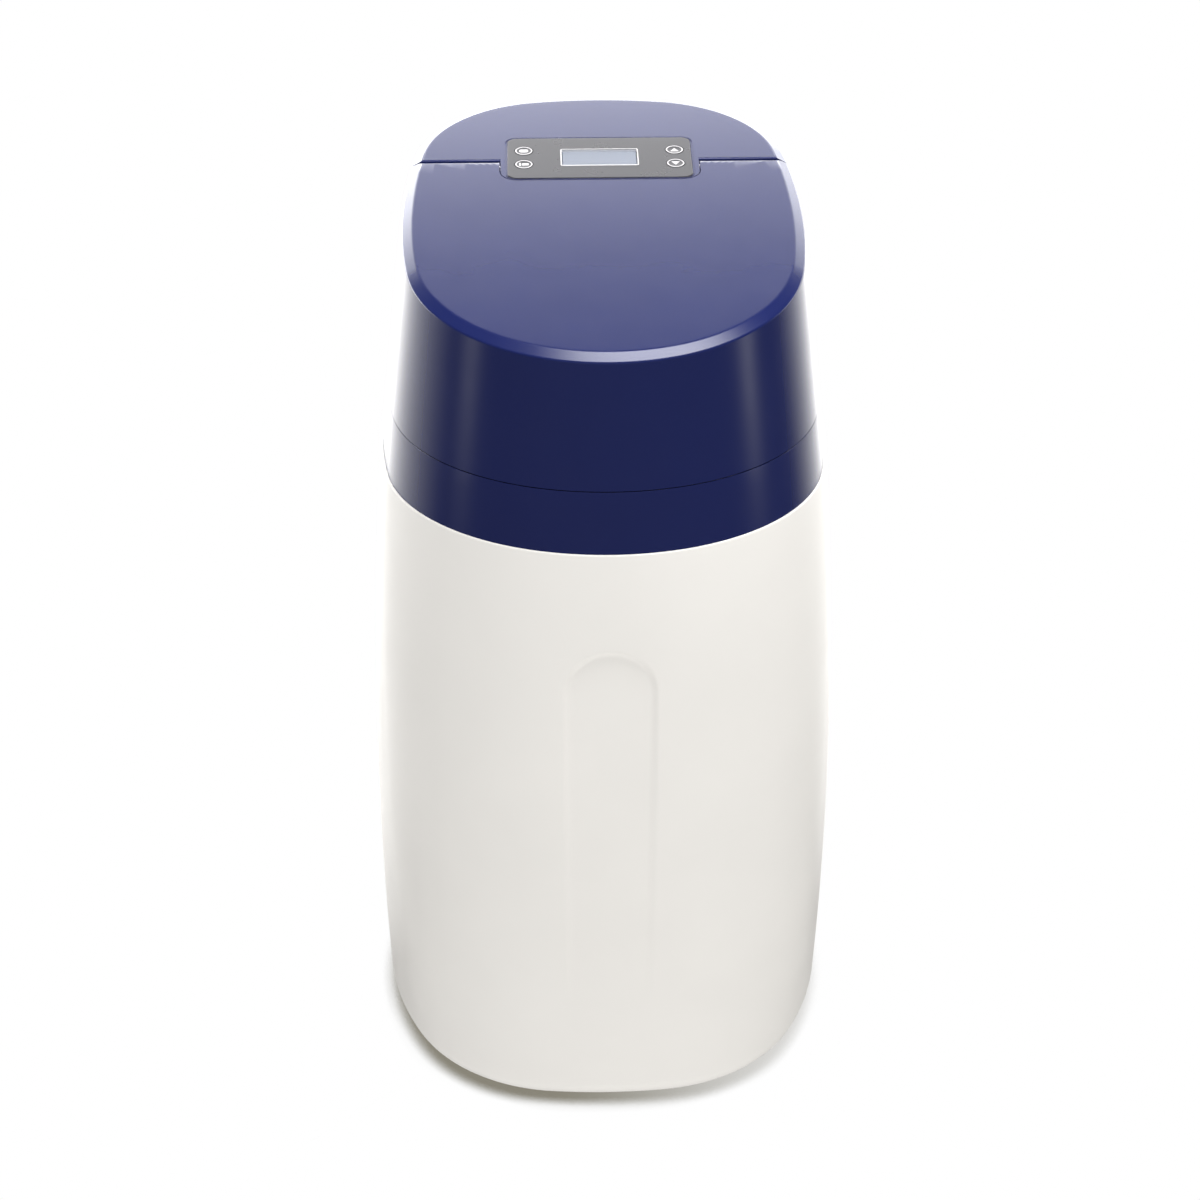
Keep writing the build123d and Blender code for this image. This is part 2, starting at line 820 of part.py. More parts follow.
def control_tray():
    """Tray under the panel that holds the board, with posts below it."""
    half_y = tray_depth / 2
    high = -deck_thickness - seat_gap
    low = -tray_height
    outer = slope_block(-tray_half_width, tray_half_width, -half_y, half_y, low, high) & tray_limit(0)
    inner = slope_block(-tray_half_width + tray_wall, tray_half_width - tray_wall, -half_y + tray_wall,
                        half_y - tray_wall, low + tray_wall, high + overrun)
    body = outer - (inner & tray_limit(tray_wall))
    post = 2 * tray_wall
    for side_x in (-1, 1):
        for side_y in (-1, 1):
            x = side_x * (tray_half_width - tray_wall - post)
            y = side_y * (half_y - tray_wall - post)
            x = x - side_x * (notch_corner / 2 if side_y < 0 else 0)
            body = body + slope_drum(post / 2, low + tray_wall / 2, -board_level - board_thickness, x, y)
    return body


def power_socket():
    """Low-voltage socket in the rear of the cover."""
    wall_y = rim_rear - lip_width - top_draft * (socket_level - rim_height)
    face_y = wall_y + socket_pad_proud
    body = rod_y(socket_body, face_y - socket_length, face_y, 0, socket_level)
    flange = rod_y(socket_flange, face_y - seat_gap, face_y + socket_flange_thickness, 0, socket_level)
    end = face_y + socket_flange_thickness
    return body + flange - rod_y(socket_bore, end - socket_bore_depth, end + overrun, 0, socket_level)


def dome_edges(radius, depth, knuckle, level, way):
    """Crown and knuckle arcs of a dished end that closes a cylinder at a level, up or down."""
    crown = ((radius - knuckle) ** 2 + depth * depth - knuckle * knuckle) / (2 * (depth - knuckle))
    knuckle_x = radius - knuckle
    crown_z = level + way * (depth - crown)
    norm = hypot(knuckle_x, level - crown_z)
    ux, uz = knuckle_x / norm, (level - crown_z) / norm
    touch = Vector(knuckle_x + knuckle * ux, 0, level + knuckle * uz)
    half_x, half_z = ux + 1, uz
    half_norm = hypot(half_x, half_z)
    knuckle_mid = Vector(knuckle_x + knuckle * half_x / half_norm, 0, level + knuckle * half_z / half_norm)
    tilt = acos(abs(uz)) / 2
    crown_mid = Vector(crown * sin(tilt), 0, crown_z + way * crown * cos(tilt))
    tip = Vector(0, 0, level + way * depth)
    start = Vector(radius, 0, level)
    return [Edge.make_three_point_arc(start, knuckle_mid, touch),
            Edge.make_three_point_arc(touch, crown_mid, tip)]


def vessel_form(inset):
    """Closed bottle with two dished ends, drawn in by an inset."""
    low = vessel_bottom + vessel_dome
    high = vessel_top - vessel_dome
    radius = vessel_radius - inset
    depth = vessel_dome - inset
    knuckle = vessel_knuckle - inset
    bottom = dome_edges(radius, depth, knuckle, low, -1)
    top = dome_edges(radius, depth, knuckle, high, 1)
    wall = Edge.make_line((radius, 0, low), (radius, 0, high))
    spine = Edge.make_line((0, 0, high + depth), (0, 0, low - depth))
    face = Face(Wire([wall] + top + [spine] + bottom))
    return Pos(0, vessel_y, 0) * revolve(face, Axis.Z)


def resin_tank():
    """Pressure vessel with a threaded neck."""
    neck = drum(neck_radius, vessel_top - vessel_dome / 2, neck_top, 0, vessel_y)
    body = vessel_form(0) + neck - vessel_form(vessel_wall)
    return body - drum(neck_bore, vessel_top - vessel_dome, neck_top + overrun, 0, vessel_y)


def tank_boot():
    """Ring foot that the vessel's lower dome stands in."""
    floor = cabinet_wall + seat_gap
    body = ring(boot_radius, boot_radius - boot_wall - vessel_knuckle / 2, floor, boot_height, 0, vessel_y)
    return body - vessel_form(-seat_gap)


def riser_tube():
    """Tube down the middle of the vessel."""
    return ring(riser_radius, riser_radius - riser_wall, riser_bottom + strainer_wall,
                valve_low + valve_base, 0, vessel_y)


def slots(radius, width, low, high, count, x, y):
    """Radial cutters for upright slots."""
    cutters = []
    for bearing in around(count):
        cutter = block(radius / 2, radius + overrun, -width / 2, width / 2, low, high)
        cutters.append(Pos(x, y, 0) * Rot(0, 0, degrees(bearing)) * cutter)
    return cutters


def bottom_strainer():
    """Slotted basket at the foot of the riser."""
    low = vessel_bottom + vessel_wall + seat_gap
    high = low + strainer_height
    body = drum(strainer_radius, low, high, 0, vessel_y)
    body = body - drum(strainer_radius - strainer_wall, low + strainer_wall, high - strainer_wall, 0,
                       vessel_y)
    body = body - drum(riser_radius + run_gap, high - 2 * strainer_wall, high + overrun, 0, vessel_y)
    body = body - vessel_floor_cut()
    for cutter in slots(strainer_radius, strainer_slot, low + 3 * strainer_wall,
                        high - 2 * strainer_wall, strainer_slot_count, 0, vessel_y):
        body = body - cutter
    return body


def vessel_floor_cut():
    """What lies outside the vessel's inner skin near its floor."""
    low = vessel_bottom
    high = vessel_bottom + vessel_dome / 2
    return drum(vessel_radius / 2, low, high, 0, vessel_y) - vessel_form(vessel_wall + seat_gap)


def top_strainer():
    """Slotted cone under the valve, round the riser."""
    high = neck_top - adapter_spigot - seat_gap
    body = ring(top_strainer_radius, riser_radius + seat_gap, top_strainer_bottom, high, 0, vessel_y)
    inner = ring(top_strainer_radius - strainer_wall, riser_radius + seat_gap + strainer_wall,
                 top_strainer_bottom + strainer_wall, high + overrun, 0, vessel_y)
    body = body - inner
    for cutter in slots(top_strainer_radius, strainer_slot, top_strainer_bottom + 2 * strainer_wall,
                        high - 2 * strainer_wall, strainer_slot_count, 0, vessel_y):
        body = body - cutter
    return body


def resin_bed():
    """Resin beads in the vessel, as one body, round the riser and its strainer."""
    bed = vessel_form(vessel_wall + seat_gap) & drum(vessel_radius, vessel_bottom, resin_top, 0, vessel_y)
    strainer_top = vessel_bottom + vessel_wall + seat_gap + strainer_height
    bed = bed - drum(riser_radius + seat_gap, vessel_bottom, resin_top + overrun, 0, vessel_y)
    return bed - drum(strainer_radius + seat_gap, vessel_bottom, strainer_top + seat_gap, 0, vessel_y)


def neck_adapter():
    """Adapter that screws into the neck and carries the valve, with a groove for its seal."""
    low = neck_top + seat_gap
    bore = neck_bore - seat_gap - adapter_wall
    body = ring(neck_bore - seat_gap, bore, low - adapter_spigot, low, 0, vessel_y)
    body = body + ring(adapter_flange_radius, bore, low, adapter_top, 0, vessel_y)
    groove = ring(seal_seat_radius + seal_radius, seal_seat_radius - seal_radius, low - overrun,
                  low + 2 * seal_radius - seat_gap, 0, vessel_y)
    return body - groove


def neck_seal():
    """Seal ring between the neck and the adapter."""
    level = neck_top + seal_radius
    return Pos(0, vessel_y, level) * Torus(seal_seat_radius, seal_radius - run_gap)


def valve_ports():
    """Places across of the inlet and the outlet."""
    return (-port_x, port_x)


def bonnet_screw_places():
    """Places across and along of the screws round the valve's bonnet."""
    return [(bonnet_screw_ring * cos(bearing), vessel_y + bonnet_screw_ring * sin(bearing))
            for bearing in around(bonnet_screw_count, bonnet_screw_angle)]


def valve_body():
    """Valve body on the vessel's neck, with two ports to the rear, a drain arm and a disc chamber."""
    body = drum(adapter_flange_radius, valve_low, valve_low + valve_base, 0, vessel_y)
    body = body + drum(valve_radius, valve_low, valve_top, 0, vessel_y)
    body = body + drum(valve_flange_radius, valve_top - valve_flange, valve_top, 0, vessel_y)
    for x in valve_ports():
        body = body + rod_y(port_radius, vessel_y, barrel_end, x, port_level)
    body = body + rod_x(drain_barrel_radius, 0, drain_barrel_end, drain_y, port_level)
    body = body + rod_x(cap_radius, 0, valve_radius + cap_length / 2, injector_y, line_level)
    front_y = vessel_y - valve_radius
    body = body + rod_y(fitting_radius, front_y - fitting_length / 2, vessel_y, 0, line_level)
    body = body - drum(chamber_radius, chamber_low, valve_top + overrun, 0, vessel_y)
    body = body - drum(riser_radius + run_gap, valve_low - overrun, valve_low + valve_base + overrun,
                       0, vessel_y)
    body = body - drum(riser_radius - riser_wall, valve_low, chamber_low + overrun, 0, vessel_y)
    for x in valve_ports():
        body = body - rod_y(port_bore, vessel_y, barrel_end + overrun, x, port_level)
    drain_port_x = -disc_port_ring
    body = body - rod_x(drain_bore, drain_port_x, drain_barrel_end - overrun, drain_y, port_level)
    body = body - drum(drain_bore - seat_gap, port_level, chamber_low + overrun, drain_port_x, drain_y)
    line_end = front_y - fitting_length / 2
    body = body - rod_y(line_bore, line_end - overrun, vessel_y, 0, line_level)
    body = body - rod_y(line_radius + run_gap, line_end - overrun, line_end + line_socket, 0, line_level)
    for x, y in bonnet_screw_places():
        body = body - drum(bonnet_screw_radius, valve_top - valve_flange, valve_top + overrun, x, y)
    return body


def disc_ports(disc, low, high):
    """Cut three kidney-like ports through a disc."""
    for bearing in around(disc_port_count, disc_port_angle):
        x = disc_port_ring * cos(bearing)
        y = vessel_y + disc_port_ring * sin(bearing)
        disc = disc - drum(disc_port_radius, low - overrun, high + overrun, x, y)
    return disc


def fixed_disc():
    """Ceramic disc that stays still in the chamber."""
    low = chamber_low
    disc = drum(chamber_radius - seat_gap, low, rotor_low - run_gap, 0, vessel_y)
    return disc_ports(disc, low, rotor_low)


def rotor_disc():
    """Ceramic disc that turns on the fixed one."""
    disc = drum(rotor_radius, rotor_low, rotor_low + rotor_thickness, 0, vessel_y)
    return disc_ports(disc, rotor_low, rotor_low + rotor_thickness)


def drive_spindle():
    """Spindle that turns the rotor disc from the main gear."""
    low = rotor_low + rotor_thickness
    flange_high = valve_top - seat_gap
    body = drum(spindle_flange_radius, low, flange_high, 0, vessel_y)
    return body + drum(spindle_radius, low, gear_high + gear_air / 2, 0, vessel_y)


def valve_bonnet():
    """Cap over the disc chamber that the spindle passes through."""
    body = ring(valve_flange_radius, spindle_radius + run_gap, valve_top, bonnet_top, 0, vessel_y)
    for x, y in bonnet_screw_places():
        body = body - drum(bonnet_screw_radius + run_gap, valve_top - overrun, bonnet_top + overrun, x, y)
    return body


def bonnet_screws():
    """Screws that hold the drive plate and the bonnet to the valve body."""
    screws = []
    for x, y in bonnet_screw_places():
        shank = drum(bonnet_screw_radius - run_gap, valve_top - valve_flange + seat_gap, plate_top, x, y)
        head = drum(bonnet_screw_head, plate_top, plate_top + gear_air - seat_gap, x, y)
        screws.append(shank + head)
    return Compound(children=screws)


def injector_cap():
    """Screw cap over the injector, with a grooved grip."""
    x0 = valve_radius + cap_length / 2
    grip = cap_radius + cap_wall
    body = rod_x(grip, x0 - cap_length / 2 + seat_gap, x0 + cap_length, injector_y, line_level)
    well = rod_x(cap_radius + run_gap, x0 - cap_length, x0, injector_y, line_level)
    for bearing in around(cap_groove_count):
        y = injector_y + grip * cos(bearing)
        z = line_level + grip * sin(bearing)
        body = body - rod_x(cap_groove, x0, x0 + cap_length + overrun, y, z)
    return body - well


def connector(x):
    """Threaded connector in front of a port, with a flange that the union nut grips."""
    start = barrel_end + seat_gap
    body = rod_y(port_radius, start, start + connector_flange, x, port_level)
    body = body + rod_y(thread_radius - thread_pitch_depth, start, port_reach, x, port_level)
    body = body + rod_y(thread_radius, port_reach - thread_length, port_reach, x, port_level)
    return body - rod_y(port_bore, start - overrun, port_reach + overrun, x, port_level)


def inlet_connector():
    """Connector for the raw water."""
    return connector(-port_x)


def outlet_connector():
    """Connector for the soft water, with a seat for the flow turbine."""
    seat = turbine_places()[1] + holder_disc + 2 * seat_gap
    cutter = rod_y(holder_radius + seat_gap, barrel_end - overrun, seat, port_x, port_level)
    return connector(port_x) - cutter


def hexagon_y(across, y0, y1, x, z):
    """A hexagonal bar along Y."""
    sketch = RegularPolygon(across / 2, 6, major_radius=False)
    bar = extrude(sketch, abs(y1 - y0), dir=(0, 0, 1))
    return Pos(x, y1, z) * Rot(90, 0, 0) * bar


def union_nuts():
    """Union nuts that draw the connectors onto the valve's ports."""
    start = barrel_end - nut_grip
    flange_end = barrel_end + 2 * seat_gap + connector_flange
    nuts = []
    for x in valve_ports():
        nut = hexagon_y(nut_across, start, flange_end + nut_shoulder, x, port_level)
        nut = nut - rod_y(port_radius + seat_gap, start - overrun, flange_end, x, port_level)
        nut = nut - rod_y(thread_radius - thread_pitch_depth + seat_gap, start, port_reach, x, port_level)
        nuts.append(nut)
    return Compound(children=nuts)


def turbine_places():
    """Start and end of the flow turbine along its shaft."""
    start = barrel_end + 2 * seat_gap + holder_disc
    return start + seat_gap, start + seat_gap + turbine_length


def turbine_holder():
    """Two spiders joined by rails that carry the turbine's shaft."""
    y0, y1 = turbine_places()
    rail = holder_radius - holder_ring / 2
    half_arm = holder_arm / 2
    parts = []
    for low in (y0 - seat_gap - holder_disc, y1 + seat_gap):
        high = low + holder_disc
        parts.append(pipe_y(holder_radius, holder_radius - holder_ring, low, high, port_x, port_level))
        parts.append(rod_y(turbine_hub, low, high, port_x, port_level))
        for across, up in ((rail, half_arm), (half_arm, rail)):
            parts.append(block(port_x - across, port_x + across, low, high, port_level - up,
                               port_level + up))
    for x in (port_x - rail, port_x + rail):
        parts.append(block(x - holder_ring / 2, x + holder_ring / 2, y0 - seat_gap, y1 + seat_gap,
                           port_level - half_arm, port_level + half_arm))
    body = joined(parts)
    limit = rod_y(holder_radius, y0 - overrun - holder_disc, y1 + overrun + holder_disc, port_x, port_level)
    return (body & limit) - rod_y(turbine_shaft + run_gap, y0 - 2 * holder_disc, y1 + 2 * holder_disc,
                                  port_x, port_level)


def flow_turbine():
    """Small turbine that turns with the soft water."""
    y0, y1 = turbine_places()
    body = rod_y(turbine_hub, y0, y1, port_x, port_level)
    body = body + rod_y(turbine_shaft, y0 - holder_disc, y1 + holder_disc, port_x, port_level)
    for bearing in around(turbine_blade_count):
        blade = block(0, turbine_radius, y0, y1, -turbine_blade / 2, turbine_blade / 2)
        body = body + Pos(port_x, 0, port_level) * Rot(0, degrees(bearing), 0) * blade
    return body


def barbed_y(radius, bore, y0, y1, x, z):
    """A hose barb along Y, with ridges."""
    body = rod_y(radius - barb_rise, y0, y1, x, z)
    pitch = barb_length / barb_ridge_count
    for step in range(barb_ridge_count):
        end = y1 - step * pitch
        cone = Pos(x, end - pitch / 2, z) * Rot(-90, 0, 0) * Cone(radius, radius - barb_rise, pitch)
        body = body + cone
    return body - rod_y(bore, y0 - overrun, y1 + overrun, x, z)


def drain_elbow():
    """Elbow on the valve's drain arm, with a hose barb to the rear."""
    start = drain_barrel_end - seat_gap
    barb_start = drain_reach - barb_length
    cup = rod_x(drain_barrel_radius, start, drain_x, drain_y, port_level)
    elbow = Pos(drain_x, drain_y, port_level) * Sphere(drain_barrel_radius)
    stem = rod_y(hose_barb_radius + barb_rise, drain_y, barb_start, drain_x, port_level)
    barb = barbed_y(hose_barb_radius, hose_bore, barb_start - overrun, drain_reach, drain_x, port_level)
    body = cup + elbow + stem + barb
    body = body - rod_y(hose_bore, drain_y, drain_reach + overrun, drain_x, port_level)
    return body - rod_x(hose_bore, start + overrun, drain_x, drain_y, port_level)


def gear(teeth, low, high, x, y, tooth_bearing, bore):
    """A spur gear with one tooth centred on a bearing."""
    pitch = gear_module * teeth / 2
    root = pitch - gear_module * tooth_dedendum_share
    tip = pitch + gear_module * tooth_addendum_share
    step = 2 * pi / teeth
    points = []
    for index in range(teeth):
        middle = radians(tooth_bearing) + index * step
        flanks = ((root, -tooth_root_share), (tip, -tooth_tip_share), (tip, tooth_tip_share),
                  (root, tooth_root_share))
        for radius, share in flanks:
            angle = middle + share * step / 2
            points.append(Vector(radius * cos(angle), radius * sin(angle), low))
    face = Face(Wire.make_polygon(points, close=True))
    wheel = Pos(x, y, 0) * extrude(face, high - low, dir=(0, 0, 1))
    if bore:
        wheel = wheel - drum(bore, low - overrun, high + overrun, x, y)
    return wheel


def main_gear():
    """Large gear on the spindle, with light holes in its web."""
    wheel = gear(main_tooth_count, gear_low, gear_high, 0, vessel_y, 0, spindle_radius)
    web = (main_radius + spindle_radius) / 2
    for bearing in around(main_gear_hole_count):
        wheel = wheel - drum(main_gear_hole_radius, gear_low - overrun, gear_high + overrun,
                             web * cos(bearing), vessel_y + web * sin(bearing))
    return wheel


def idler_gear():
    """Gear between the motor's pinion and the main gear."""
    first = 180 - 180 / idler_tooth_count
    bore = idler_post_radius + run_gap
    return gear(idler_tooth_count, gear_low, gear_high, idler_x, vessel_y, first, bore)


def motor_pinion():
    """Pinion and shaft that the motor turns."""
    first = pinion_bearing + 180 - 180 / pinion_tooth_count
    wheel = gear(pinion_tooth_count, gear_low, gear_high, pinion_x, pinion_y, first, 0)
    return wheel + drum(motor_shaft_radius, gear_high, housing_top + motor_height / 2, pinion_x, pinion_y)


def hull_plan(air, low, high):
    """The outline round the three gears, with some air past their tips, as a plate."""
    margin = gear_module + air
    discs = [(0, vessel_y, main_radius + margin), (idler_x, vessel_y, idler_radius + margin),
             (pinion_x, pinion_y, pinion_radius + margin)]
    plate = joined([drum(r, low, high, x, y) for x, y, r in discs])
    first, second, third = discs
    links = [(first, second), (second, third), (first, third)]
    for one, two in links:
        plate = plate + belt(one, two, low, high)
    return plate


def belt(one, two, low, high):
    """A plate between two discs, bounded by their outer tangents."""
    x0, y0, r0 = one
    x1, y1, r1 = two
    gap = hypot(x1 - x0, y1 - y0)
    base_x, base_y = (x1 - x0) / gap, (y1 - y0) / gap
    tilt = acos((r0 - r1) / gap)
    points = []
    for x, y, r, turn in ((x0, y0, r0, tilt), (x0, y0, r0, -tilt), (x1, y1, r1, -tilt), (x1, y1, r1, tilt)):
        nx = base_x * cos(turn) - base_y * sin(turn)
        ny = base_x * sin(turn) + base_y * cos(turn)
        points.append(Vector(x + r * nx, y + r * ny, low))
    face = Face(Wire.make_polygon(points, close=True))
    return extrude(face, high - low, dir=(0, 0, 1))


def drive_base():
    """Plate on the bonnet that carries the idler's post."""
    body = hull_plan(gear_air + housing_wall, bonnet_top, plate_top)
    body = body - drum(spindle_radius + seat_gap, bonnet_top - overrun, plate_top + overrun, 0, vessel_y)
    for x, y in bonnet_screw_places():
        body = body + drum(drive_lug_radius, bonnet_top, plate_top, x, y)
    for x, y in bonnet_screw_places():
        body = body - drum(bonnet_screw_radius + run_gap, bonnet_top - overrun, plate_top + overrun, x, y)
    return body + drum(idler_post_radius, bonnet_top, gear_high + gear_air / 2, idler_x, vessel_y)


def gear_housing():
    """Cover over the gears that carries the motor."""
    under_roof = housing_top - housing_wall
    body = hull_plan(gear_air + housing_wall, plate_top, housing_top)
    body = body - hull_plan(gear_air, plate_top - overrun, under_roof)
    for x, y in bonnet_screw_places():
        body = body - drum(bonnet_screw_head + seat_gap, plate_top - overrun, under_roof, x, y)
    return body - drum(motor_shaft_radius + seat_gap, plate_top, housing_top + overrun, pinion_x, pinion_y)


def drive_motor():
    """Geared motor on top of the gear housing, with two ears."""
    high = housing_top + motor_height
    body = drum(motor_radius, housing_top, high, pinion_x, pinion_y)
    ears = block(pinion_x - motor_ear_reach, pinion_x + motor_ear_reach, pinion_y - motor_ear_half_width,
                 pinion_y + motor_ear_half_width, housing_top, housing_top + motor_ear_thickness)
    end_cap = drum(motor_cap_radius, high, high + motor_ear_thickness, pinion_x, pinion_y)
    shaft = drum(motor_shaft_radius + run_gap, housing_top - overrun, high - motor_height / 2 + seat_gap,
                 pinion_x, pinion_y)
    return body + ears + end_cap - shaft


def brine_well():
    """Tube that keeps the salt away from the brine valve, slotted near its foot."""
    low = well_floor + seat_gap
    body = ring(well_radius, well_radius - well_wall, low, well_top, well_x, well_y)
    for cutter in slots(well_radius, well_slot_width, low + 2 * well_wall, low + well_slot_height,
                        well_slot_count, well_x, well_y):
        body = body - cutter
    return body


def brine_well_cap():
    """Cap of the brine well, with a hole for the brine valve's stub."""
    high = well_top + well_cap
    body = drum(well_radius + well_wall, well_top - well_cap_lip, high, well_x, well_y)
    body = body - ring(well_radius + seat_gap, well_radius - well_wall - seat_gap,
                       well_top - well_cap_lip - overrun, well_top, well_x, well_y)
    inner = well_radius - 2 * well_wall - seat_gap
    body = body - drum(inner, well_top - well_cap_lip - overrun, well_top, well_x, well_y)
    return body - drum(brine_stub_radius + run_gap, well_top - overrun, high + overrun, well_x, well_y)


def brine_valve():
    """Safety valve that hangs from the well's cap and closes when the brine is high."""
    low = brine_body_bottom - brine_socket
    above_cap = well_top + well_cap + seat_gap
    pieces = [
        drum(brine_body_radius, brine_body_bottom, brine_body_top, well_x, well_y),
        drum(brine_body_radius - brine_wall, brine_body_top, well_top - seat_gap, well_x, well_y),
        drum(brine_stub_radius, brine_body_top, brine_stub_top, well_x, well_y),
        drum(pickup_radius + brine_wall, low, brine_body_bottom, well_x, well_y),
        drum(brine_stub_radius + brine_wall, above_cap, brine_stub_top - brine_wall, well_x, well_y),
    ]
    line_low = brine_body_top + brine_wall
    body = joined(pieces)
    body = body - drum(line_radius + run_gap, line_low, brine_stub_top + overrun, well_x, well_y)
    body = body - drum(pickup_radius, low - overrun, brine_body_bottom, well_x, well_y)
    return body - drum(line_bore, brine_body_bottom - overrun, brine_stub_top, well_x, well_y)


def pickup_tube():
    """Tube from the brine valve down to the air check."""
    return ring(pickup_radius, pickup_radius - pickup_wall, pickup_bottom, brine_body_bottom, well_x, well_y)


def float_stops():
    """Two rubber grommets that limit the float's travel on the tube."""
    lower = float_bottom - seat_gap
    upper = float_bottom + float_height + float_travel + seat_gap
    rings = [ring(stop_radius, pickup_radius, lower - stop_height, lower, well_x, well_y),
             ring(stop_radius, pickup_radius, upper, upper + stop_height, well_x, well_y)]
    return Compound(children=rings)


def brine_float():
    """Float that slides up the tube as the brine rises."""
    bore = pickup_radius + slide_gap
    body = ring(float_radius, bore, float_bottom, float_bottom + float_height, well_x, well_y)
    middle = (float_radius + bore) / 2
    outer = [edge for edge in body.edges().filter_by(GeomType.CIRCLE) if edge.radius > middle]
    return fillet(outer, float_round)


def air_check():
    """Cage at the foot of the tube, with a seat that the ball closes when the brine is drawn."""
    low = well_floor + seat_gap
    high = pickup_bottom + cage_floor / 2
    body = drum(cage_radius, low, high, well_x, well_y)
    body = body - drum(cage_radius - cage_wall, low + cage_floor, pickup_bottom - cage_wall, well_x, well_y)
    body = body - drum(ball_seat_radius, low - overrun, low + cage_floor + overrun, well_x, well_y)
    body = body - drum(pickup_radius, pickup_bottom, high + overrun, well_x, well_y)
    body = body - drum(pickup_radius - pickup_wall, pickup_bottom - 2 * cage_wall, pickup_bottom + overrun,
                       well_x, well_y)
    foot = low + cage_wall
    for bearing in around(cage_window_count, 180 / cage_window_count):
        window = block(0, cage_radius + overrun, -cage_wall, cage_wall, foot, low + cage_floor - cage_wall)
        body = body - Pos(well_x, well_y, 0) * Rot(0, 0, degrees(bearing)) * window
    for bearing in around(cage_window_count):
        window = block(ball_seat_radius, cage_radius + overrun, -2 * cage_wall, 2 * cage_wall,
                       low + cage_floor + cage_wall, pickup_bottom - 2 * cage_wall)
        body = body - Pos(well_x, well_y, 0) * Rot(0, 0, degrees(bearing)) * window
    return body


def check_ball():
    """Ball of the air check."""
    level = well_floor + seat_gap + cage_floor
    lift = sqrt(ball_radius * ball_radius - ball_seat_radius * ball_seat_radius)
    return Pos(well_x, well_y, level + lift + run_gap) * Sphere(ball_radius)


def brine_line():
    """Tube from the valve's brine fitting to the brine valve, with two long bends."""
    start_y = vessel_y - valve_radius - fitting_length / 2 + line_socket
    end_z = brine_body_top + brine_wall + seat_gap
    points = [(0, start_y, line_level), (0, well_y * cos(pi / 4), line_level), (well_x, well_y, line_level),
              (well_x, well_y, end_z)]
    path = FilletPolyline(*points, radius=list(line_bends))
    profile = Plane(origin=points[0], z_dir=(0, -1, 0)) * (Circle(line_radius) - Circle(line_bore))
    return sweep(profile, path=path)


def wall_y_at(level):
    """Depth of the cabinet's rear wall on the middle line."""
    return swell(foot_rear, belly_rear, rim_rear, belly_rear_height, level)


def overflow_elbow():
    """Overflow elbow through the cabinet's rear wall, with a hose barb downwards."""
    face = wall_y_at(overflow_level) + gasket_thickness + seat_gap
    corner_y = face + overflow_reach
    spigot_start = wall_y_at(overflow_level) - cabinet_wall - overflow_nut_thickness - overflow_spigot_end
    low = overflow_level - overflow_drop
    narrow = hose_barb_radius - barb_rise
    body = rod_y(overflow_spigot, spigot_start, corner_y, 0, overflow_level)
    body = body + rod_y(overflow_flange, face, face + overflow_flange_thickness, 0, overflow_level)
    body = body + Pos(0, corner_y, overflow_level) * Sphere(overflow_spigot)
    body = body + drum(narrow, low, overflow_level, 0, corner_y)
    for step in range(barb_ridge_count):
        middle = low + (step + 1 / 2) * overflow_ridge
        body = body + Pos(0, corner_y, middle) * Cone(narrow, hose_barb_radius, overflow_ridge)
    body = body - rod_y(overflow_bore, spigot_start - overrun, corner_y, 0, overflow_level)
    return body - drum(hose_bore, low - overrun, overflow_level, 0, corner_y)


def overflow_gasket():
    """Soft washer between the elbow and the wall."""
    wall = wall_y_at(overflow_level) + seat_gap
    return pipe_y(overflow_flange - gasket_margin, overflow_spigot + run_gap, wall,
                  wall + gasket_thickness, 0, overflow_level)


def overflow_nut():
    """Nut that holds the elbow from inside."""
    inside = wall_y_at(overflow_level) - cabinet_wall - 2 * seat_gap
    nut = hexagon_y(2 * overflow_nut_radius, inside - overflow_nut_thickness, inside, 0, overflow_level)
    return nut - rod_y(overflow_spigot + run_gap, inside - 2 * overflow_nut_thickness, inside + overrun,
                       0, overflow_level)


def vessel_deck():
    """Deck on the collar's ledge, round the vessel's neck, with a turned-down front edge."""
    low = rim_height + collar_ledge + seat_gap
    reach = belly_half_width
    plan = top_form(low - deck_lip - overrun, low + deck_sheet, shell_wall + seat_gap)
    inner_wall = cabinet_wall + spigot_gap + spigot_wall + seat_gap
    sheet = plan & block(-reach, reach, deck_front, rim_rear, low, low + deck_sheet)
    lip_half = rim_half_width - inner_wall - deck_lip
    lip = block(-lip_half, lip_half, deck_front, deck_front + deck_sheet, low - deck_lip, low)
    neck_hole = drum(adapter_flange_radius + deck_hole_clearance, low - overrun, low + deck_sheet + overrun,
                     0, vessel_y)
    body = sheet + lip - neck_hole
    return body - vessel_form(-seat_gap)


